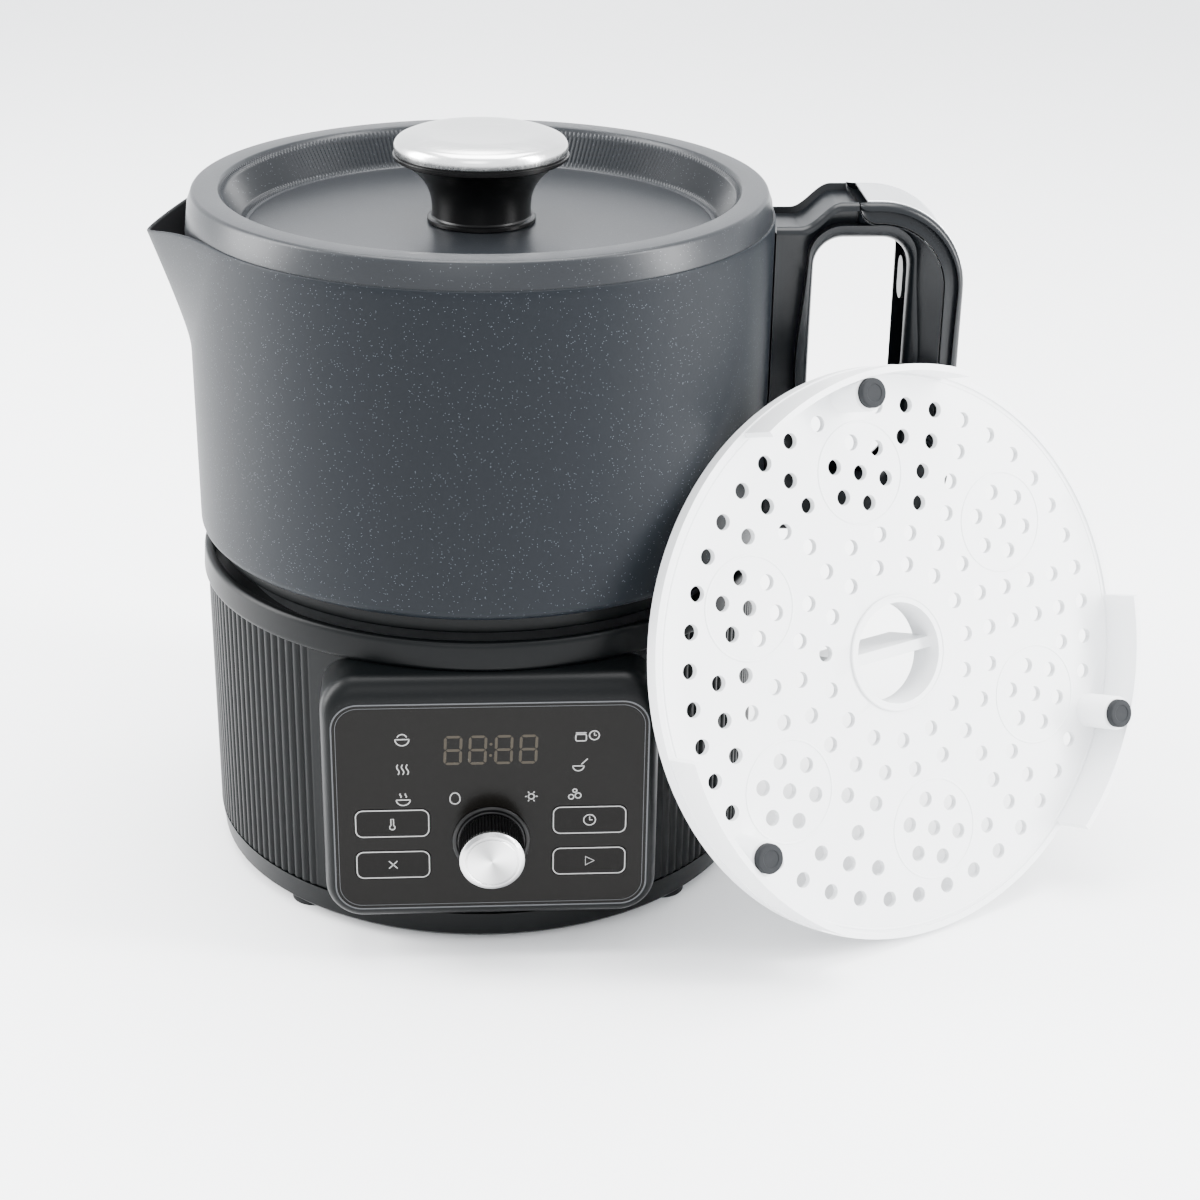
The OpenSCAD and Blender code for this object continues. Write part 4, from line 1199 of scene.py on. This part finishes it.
@dataclass
class Handle:
    """The closed handle: inner frame, outer cover and metal inlay, all swept round the finger gap."""

    root_x: float = 86.0
    bracket_x: float = 99.0
    rise_x: float = 112.0
    rise_steps: int = 18
    bracket_top: float = 210.7
    corner: float = 28.0
    corner_low: float = 20.0
    gap_x: float = 119.0
    gap_wide: float = 30.0
    gap_low: float = 125.0
    gap_under: float = 11.5
    gap_round: float = 9.0
    seam_x: float = 117.0
    seam_round: float = 6.0
    cover_t: float = 6.5
    cover_low: float = 135.0
    joint: float = 0.16
    edge: float = 2.3
    gap_edge: float = 4.6

    def loop(self) -> Array:
        """The outer outline in X and Z: bracket, an S rise of half a cosine, two round corners."""
        box = Extent.of("handle_frame")
        x0, x1, low, top = self.root_x, box.high[0], box.low[2], box.high[2]
        t = np.linspace(0, 1, self.rise_steps)
        rise = np.stack([self.bracket_x + (self.rise_x - self.bracket_x) * t,
                         self.bracket_top + (top - self.bracket_top) * (1 - np.cos(math.pi * t)) / 2], -1)
        upper = arc(x1 - self.corner, top - self.corner, self.corner, 90, 0, 22)
        return np.concatenate([
            [[x0, low], [x0, self.bracket_top]], rise, [[self.seam_x, top]], upper, self.low_corner(box)])

    def low_corner(self, box: Extent) -> Array:
        """The round corner at the handle's foot."""
        radius = self.corner_low
        return arc(box.high[0] - radius, box.low[2] + radius, radius, 0, -90, 16)

    def frame_line(self) -> Array:
        """The outer outline of the inner frame, which steps in under the cover by a quarter ellipse."""
        box = Extent.of("handle_frame")
        x1, top = box.high[0], box.high[2]
        left = self.loop()[: 2 + self.rise_steps + 1]
        a = np.radians(np.linspace(0, 90, 10))
        step = np.stack([self.seam_x + self.seam_round * (1 - np.cos(a)), top - self.cover_t * np.sin(a)], -1)
        inner = arc(x1 - self.corner, top - self.corner, self.corner - self.cover_t, 90, 0, 22)
        ledge = [[x1 - self.cover_t, self.cover_low], [x1, self.cover_low - 0.6]]
        return np.concatenate([left, step, inner, ledge, self.low_corner(box)])

    def centre(self) -> Array:
        """The middle of the finger gap."""
        return np.array([self.gap_x, (self.gap_low + Extent.of("handle_frame").high[2] - self.gap_under) / 2])

    def gap(self) -> Array:
        """The outline of the finger gap."""
        top = Extent.of("handle_frame").high[2] - self.gap_under
        return rounded(self.gap_wide, top - self.gap_low, self.gap_round, 12) + self.centre()

    def reach(self, outline: Array, angle: Array) -> Array:
        """The distance from the gap's middle to an outline along each angle.

        Args:
            outline: closed outline, shape (n, 2).
            angle: angles in radians.

        Returns:
            One distance for each angle.
        """
        t = np.linspace(0, 1, 40, endpoint=False)[None, :, None]
        dense = outline[:, None] * (1 - t) + np.roll(outline, -1, 0)[:, None] * t
        dense = dense.reshape(-1, 2) - self.centre()
        theta, length = np.arctan2(dense[:, 1], dense[:, 0]), np.linalg.norm(dense, axis=1)
        order = np.argsort(theta)
        return np.interp(angle, theta[order], length[order], period=TAU)

    def swept(
        self, angle: Array, near: Array, far: Array, half: float, round_near: Array, round_far: Array
    ) -> Array:
        """Carries a rounded rectangle round the gap.

        At each angle the section spans from the near distance to the far one and half to each side,
        and its corners are quarter circles of the two radii.

        Args:
            angle: angles in radians.
            near: inner distance at each angle.
            far: outer distance at each angle.
            half: half the width.
            round_near: radius of the inner corners at each angle.
            round_far: radius of the outer corners at each angle.

        Returns:
            Grid of shape (angles, 24, 3).
        """
        a = np.radians(np.linspace(0, 90, 6))
        c, s = np.cos(a), np.sin(a)
        rf, rn = round_far[:, None], round_near[:, None]
        out_r, out_l = far[:, None] - rf * (1 - c), far[:, None] - rf * (1 - s)
        in_l, in_r = near[:, None] + rn * (1 - c), near[:, None] + rn * (1 - s)
        dist = np.concatenate([out_r, out_l, in_l, in_r], 1)
        side = np.concatenate([
            half - rf * (1 - s), -(half - rf * (1 - c)), -(half - rn * (1 - s)), half - rn * (1 - c)], 1)
        x0, z0 = self.centre()
        return np.stack([x0 + dist * np.cos(angle)[:, None], side, z0 + dist * np.sin(angle)[:, None]], -1)

    def build_frame(self) -> Surface:
        """The frame, whose side towards the pot follows the pot's wall."""
        box, pot = Extent.of("handle_frame"), Extent.of("pot_shell")
        corners = np.concatenate([self.frame_line(), self.gap()]) - self.centre()
        even = np.linspace(-math.pi, math.pi, 300, endpoint=False)
        angle = np.unique(np.concatenate([even, np.arctan2(corners[:, 1], corners[:, 0])]).round(5))
        near, line_far, full = (self.reach(o, angle) for o in (self.gap(), self.frame_line(), self.loop()))
        hidden = line_far < full - 0.4
        ease, gap_ease = np.where(hidden, 0.25, self.edge), np.full(len(angle), self.gap_edge)
        far = line_far - hidden * self.joint
        cells = self.swept(angle, near, far, box.size[1] / 2, gap_ease, ease)
        wall = np.sqrt((pot.high[0] + 0.5) ** 2 - cells[..., 1] ** 2)
        cells[..., 0] = np.maximum(cells[..., 0], wall)
        return Surface().grid(cells, wrap_u=True, wrap_v=True)

    def span(self, start: Sequence[float], end: Sequence[float], count: int) -> Array:
        """Angles about the gap's middle from one point of the outline round to another."""
        a, b = (math.atan2(p[1] - self.centre()[1], p[0] - self.centre()[0]) for p in (start, end))
        return np.linspace(a, b, count)

    def build_cover(self) -> Surface:
        """The outer cover, from its lower end round the corner to the seam on the top."""
        box = Extent.of("handle_frame")
        angle = self.span((box.high[0], self.cover_low + 0.2), (self.seam_x + 0.25, box.high[2]), 150)
        near, far = self.reach(self.frame_line(), angle) + self.joint, self.reach(self.loop(), angle)
        near = np.minimum(near, far - 0.6)
        ease = np.minimum(self.edge, 0.42 * (far - near))
        cells = self.swept(angle, near, far, box.size[1] / 2, np.minimum(0.3, 0.3 * (far - near)), ease)
        return Surface().grid(cells, wrap_v=True).cap(cells[0]).cap(cells[-1])

    def build_inlay(self) -> Surface:
        """The metal strip along the top and over the corner of the cover."""
        box = Extent.of("handle_inlay")
        outer = self.loop()
        angle = self.span((box.high[0], box.low[2]), (box.low[0], box.high[2]), 110)
        far = self.reach(outer, angle)
        ease = np.full(len(angle), 0.3)
        cells = self.swept(angle, far - 0.6, far + 0.3, box.size[1] / 2, ease, ease)
        return Surface().grid(cells, wrap_v=True).cap(cells[0]).cap(cells[-1])

    def build(self) -> None:
        """Builds the three pieces of the handle."""
        pot = Body.POT.value
        fit(self.build_frame().build("handle_inner"), pot, HANDLE_SLATE, ["handle_frame"])
        fit(self.build_cover().build("handle_outer"), pot, HANDLE_SLATE, ["handle_cover"])
        fit(self.build_inlay().build("handle_strip"), pot, INLAY_METAL, ["handle_inlay"])


# ---- Lid ----

@dataclass
class Lid:
    """The lid: painted shell with a ribbed slope, steel plate, seal and knob."""

    ribs: int = 330
    rib_depth: float = 0.32
    band: float = 8.3
    slope: float = 8.0
    taper: float = 2.2
    dish_drop: float = 12.0
    thick: float = 1.5
    bore: float = 2.5

    def build_shell(self) -> Surface:
        """The lid's profile turned about Z, with fine ribs down its slope.

        On the slope each point also moves along the slope's normal by d cos(n a).
        """
        box = Extent.of("lid_shell")
        pot_r, low, top = box.high[0], box.low[2], box.high[2]
        band_r = pot_r - self.taper - self.band
        dish_r, dish_z = band_r - self.slope, top - self.dish_drop
        t = self.thick
        upper = np.concatenate([
            [[self.bore, dish_z], [dish_r * 0.5, dish_z], [dish_r - 1.6, dish_z]],
            arc(dish_r - 1.2, dish_z - 0.45, 0.45, 90, 20, 4),
            line([dish_r - 0.4, dish_z - 0.2], [dish_r + 0.1, dish_z + 0.1], 3),
            line([dish_r + 0.5, dish_z + 0.8], [band_r - 1.1, top - 1.8], 9),
            line([band_r - 0.8, top - 1.3], [band_r - 0.5, top - 0.7], 3),
            arc(band_r + 0.35, top - 0.8, 0.8, 140, 90, 5),
            arc(pot_r - self.taper - 1.5, top - 1.5, 1.5, 88, 8, 9),
            line([pot_r - 1.2, top - 4.0], [pot_r - 0.1, low + 0.8], 3), [[pot_r - 0.35, low]],
        ])
        under = np.array([
            [pot_r - t, low], [pot_r - self.taper - t, top - 1.4 - t], [band_r + 1, top - 1.4 - t],
            [dish_r + 0.8, dish_z - t], [self.bore, dish_z - t],
        ])
        profile = np.concatenate([upper, under])
        columns = self.ribs * 4
        angle = np.linspace(0, TAU, columns, endpoint=False)[:, None]
        index = np.arange(len(profile))
        start = 3 + 4 + 3  # the profile's points before the slope's nine
        weight = np.interp(index, [start - 1, start, start + 8, start + 9], [0, 1, 1, 0], left=0, right=0)
        depth = self.rib_depth * weight[None, :] * np.cos(angle * self.ribs)
        cells = turned(profile, columns, -0.85 * depth)
        cells[..., 2] += 0.5 * depth
        return Surface().grid(cells, wrap_u=True, wrap_v=True)

    def build_stem(self) -> Surface:
        """The stem: radius = neck + flare t^2.9 above a low foot."""
        top_r, z0, z1 = Extent.of("knob_stem").disc
        foot_r, neck = 17.0, 15.5
        t = np.linspace(0, 1, 26)
        flare = np.stack([neck + (top_r - 0.3 - neck) * t**2.9, z0 + 2.2 + (z1 - z0 - 2.2) * t], -1)
        profile = np.concatenate([
            [[0, z0], [foot_r - 0.5, z0], [foot_r, z0 + 0.4], [foot_r, z0 + 1.3], [foot_r - 0.3, z0 + 1.6],
             [neck + 0.35, z0 + 1.75]], flare, [[top_r, z1 - 0.1], [top_r - 0.2, z1], [0, z1]],
        ])
        return lathe(profile, 160, closed=False)

    def build_flange(self) -> Surface:
        """The disc under the cap, with three fine steps on its edge."""
        r, z0, z1 = Extent.of("knob_flange").disc
        h = (z1 - z0) / 7
        profile = np.array([
            [0, z0], [r - 1.6, z0], [r - 0.9, z0 + h * 0.5], [r - 0.9, z0 + 1.2 * h],
            [r - 0.35, z0 + 1.7 * h], [r - 0.35, z0 + 3.2 * h], [r, z0 + 3.8 * h], [r, z0 + 5.4 * h],
            [r - 0.5, z0 + 5.9 * h], [r - 0.5, z1], [0, z1],
        ])
        return lathe(profile, 192, closed=False)

    def build_cap(self) -> Surface:
        """The metal cap: a rolled edge, a crown at two thirds of the radius and a shallow dish."""
        r, z0, z1 = Extent.of("knob_cap").disc
        t = np.linspace(0, 1, 16)
        dish = np.stack([r * 0.66 * (1 - t), z1 - 0.95 * (1 - (1 - t) ** 2) ** 1.3], -1)
        crown = np.stack([r * (0.9 - 0.24 * t), z1 - 1.5 * (1 - t) ** 2], -1)
        profile = np.concatenate([
            [[0, z0], [r - 0.7, z0]], arc(r - 0.5, z0 + 0.5, 0.5, -70, 0, 4),
            arc(r - 3.0, z1 - 4.6, 3.0, 4, 76, 9), crown, dish[1:],
        ])
        return lathe(profile, 224, closed=False)

    def build(self) -> None:
        """Builds the shell and the knob and dresses the plate, the seal and the screw."""
        lid, black = Body.LID.value, "black_plastic"
        fit(self.build_shell().build("lid_painted", 50), lid, LID_PAINT, ["lid_shell"])
        fit(self.build_stem().build("knob_flared_stem"), lid, KNOB_BLACK, ["knob_stem"])
        fit(self.build_flange().build("knob_stepped_flange", 25), lid, KNOB_BLACK, ["knob_flange"])
        fit(self.build_cap().build("knob_domed_cap", 40), lid, CAP_STEEL, ["knob_cap"])
        dress_nodes({"lid_plate": LID_STEEL, "lid_seal": SILICONE, "knob_screw": STEEL})


# ---- Tray ----

@dataclass
class Tray:
    """The steam and egg tray, leaning on the handle, and its rubber feet."""

    soften: float = 0.45
    middle: Triple = (129.053, -61.905, 86.736)
    lean: float = 19.3
    turned_by: float = 28.501
    edge_r: float = 90.5
    seat_at: float = 58.5
    seat_r: float = 16.0
    grip_r: float = 18.0
    rim_inset: float = 3.2
    bead: Tuple[float, float] = (0.45, 0.4)
    post_at: float = 83.3
    foot_r: float = 4.6
    foot_z: Tuple[float, float] = (-15.45, -13.05)
    first_post: float = 26.0

    def frame_turn(self) -> Array:
        """The tray's own axes as columns: a turn about X that leans it, then one about Z."""
        stand = Matrix.Rotation(-math.radians(90 + self.lean), 3, "X")
        return np.array(Matrix.Rotation(math.radians(self.turned_by), 3, "Z") @ stand)

    def build_plate(self) -> bpy.types.Object:
        """The tray's exact shape, joined into one mesh with its flat faces merged and its edges rounded."""
        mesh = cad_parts["tray"].data.copy()
        work = bmesh.new()
        work.from_mesh(mesh)
        bmesh.ops.remove_doubles(work, verts=work.verts, dist=3e-6)
        bmesh.ops.dissolve_limit(work, angle_limit=math.radians(1.0), verts=work.verts, edges=work.edges)
        work.to_mesh(mesh)
        work.free()
        mesh.name = "tray_white_plate"
        piece = finished(mesh, mesh.name, 40)
        bevel = piece.modifiers.new("soft_edges", "BEVEL")
        bevel.width, bevel.segments = self.soften * MM, 2
        bevel.limit_method, bevel.angle_limit = "ANGLE", math.radians(50)
        bevel.use_clamp_overlap = True
        return piece

    def build_feet(self) -> Surface:
        """Three rubber pads with a dished face, set on the posts."""
        r, (low, high) = self.foot_r, self.foot_z
        profile = np.concatenate([
            [[0, high], [r, high], [r, low + 0.6]], arc(r - 0.6, low + 0.6, 0.6, 0, -90, 5),
            [[r * 0.62, low], [r * 0.56, low + 0.25], [0, low + 0.3]],
        ])
        surface = Surface()
        for angle in np.radians(self.first_post + np.array([0.0, 120.0, 240.0])):
            post = (self.post_at * math.cos(angle), self.post_at * math.sin(angle), 0)
            surface.join(lathe(profile, 64, closed=False).moved(np.eye(3), post))
        return surface.moved(self.frame_turn(), self.middle)

    def build_rings(self) -> Surface:
        """Low round beads under the plate: one at each egg seat, one at the grip and one inside the rim.

        A bead is half an ellipse, turned about its own middle.
        """
        swing = np.radians(np.linspace(0, 180, 7))
        half, tall = self.bead
        middles = np.radians(self.first_post + 60.0 * np.arange(6))
        rings = [(self.seat_r, 0.15, self.seat_at * math.cos(a), self.seat_at * math.sin(a)) for a in middles]
        rings += [(self.grip_r, -0.5, 0.0, 0.0), (self.edge_r - self.rim_inset, 0.15, 0.0, 0.0)]
        surface = Surface()
        for radius, low, x, y in rings:
            bead = np.stack([radius + half * np.cos(swing), low - tall * np.sin(swing)], -1)
            profile = np.concatenate([bead, [[radius - half, low + 0.2], [radius + half, low + 0.2]]])
            surface.join(lathe(profile, 128).moved(np.eye(3), (x, y, 0)))
        return surface.moved(self.frame_turn(), self.middle)

    def build(self) -> None:
        """Builds the plate, its beads and the feet."""
        tray = Body.TRAY.value
        fit(self.build_plate(), tray, TRAY_WHITE, ["tray"])
        fit(self.build_rings().build("tray_beads"), tray, TRAY_WHITE)
        fit(self.build_feet().build("tray_pads"), tray, RUBBER_LIGHT, ["tray_feet"])


# ---- Stage ----

@dataclass
class Studio:
    """Floor, soft lights and camera."""

    eye: Triple = (-0.0127, -0.7079, 0.3991)
    look: Triple = (0.06666, 0.90885, -0.41177)
    roll: float = 0.93
    lens: float = 69.03
    aim: Triple = (0.03, 0.0, 0.11)
    air: Colour = (0.95, 0.97, 1.0)
    air_strength: float = 2.6

    def build_floor(self) -> None:
        """A pale sweep: flat under the object, rising behind it as a quarter circle."""
        rise = arc(1500, 1500, 1500, -90, 0, 24)
        curve = np.concatenate([[[-3000.0, 0.0], [1500.0, 0.0]], rise, [[3000.0, 4000.0]]])
        x, y = np.broadcast_arrays(np.linspace(4000, -4000, 9)[:, None], curve[None, :, 0])
        cells = np.stack([x, y, np.broadcast_to(curve[None, :, 1], x.shape)], -1)
        floor = Surface().grid(cells).build("studio_floor", 80)
        if floor.data.polygons[0].normal.z < 0:
            floor.data.flip_normals()
        finish = Plastic("floor_white", (0.93, 0.935, 0.94), 0.6, 0.02, 500.0, 0.01)
        floor.data.materials.append(material_of(finish))

    def light(self, name: str, place: Triple, size: Tuple[float, float], power: float) -> None:
        """Adds one soft rectangular light that faces the aim.

        Args:
            name: name of the light.
            place: where it stands, in metres.
            size: width and height.
            power: its power in watts.
        """
        data = bpy.data.lights.new(name, "AREA")
        data.shape, data.size, data.size_y, data.energy = "RECTANGLE", size[0], size[1], power
        lamp = bpy.data.objects.new(name, data)
        lamp.location = place
        lamp.rotation_euler = (Vector(self.aim) - Vector(place)).to_track_quat("-Z", "Y").to_euler()
        bpy.context.scene.collection.objects.link(lamp)

    def build_lights(self) -> None:
        """A bright pale surround, a big light above, and soft boxes on both sides."""
        world = bpy.data.worlds.new("studio_air")
        world.use_nodes = True
        sky = world.node_tree.nodes["Background"].inputs
        sky["Color"].default_value, sky["Strength"].default_value = (*self.air, 1.0), self.air_strength
        bpy.context.scene.world = world
        self.light("light_top", (0.05, 0.15, 1.5), (1.3, 1.1), 60.0)
        self.light("light_left", (-1.15, 0.1, 0.6), (0.6, 1.1), 50.0)
        self.light("light_right", (1.15, -0.36, 0.62), (0.26, 1.2), 46.0)
        self.light("light_front", (-0.25, -1.5, 1.0), (0.8, 0.7), 8.0)

    def build_camera(self) -> None:
        """The camera, from its place, the way it looks and its small roll."""
        ahead = Vector(self.look).normalized()
        right = ahead.cross(Vector((0, 0, 1))).normalized()
        up = right.cross(ahead)
        a = math.radians(self.roll)
        right, up = right * math.cos(a) + up * math.sin(a), up * math.cos(a) - right * math.sin(a)
        turn_to = Matrix((right, up, -ahead)).transposed().to_4x4()
        data = bpy.data.cameras.new("camera")
        data.lens, data.sensor_width = self.lens, 36.0
        data.clip_start, data.clip_end = 0.01, 50.0
        camera = bpy.data.objects.new("camera", data)
        camera.matrix_world = Matrix.Translation(self.eye) @ turn_to
        bpy.context.scene.collection.objects.link(camera)
        bpy.context.scene.camera = camera

    def build(self) -> None:
        """Sets the stage."""
        self.build_camera()
        self.build_floor()
        self.build_lights()


def main() -> None:
    """Builds every sub-assembly in order."""
    logging.basicConfig(level=logging.INFO, format="%(name)s: %(message)s")
    for assembly in (Studio(), Base(), Panel(), Dial(), Pot(), Handle(), Lid(), Tray()):
        log.info("building %s", type(assembly).__name__)
        assembly.build()


if __name__ == "__main__":
    main()
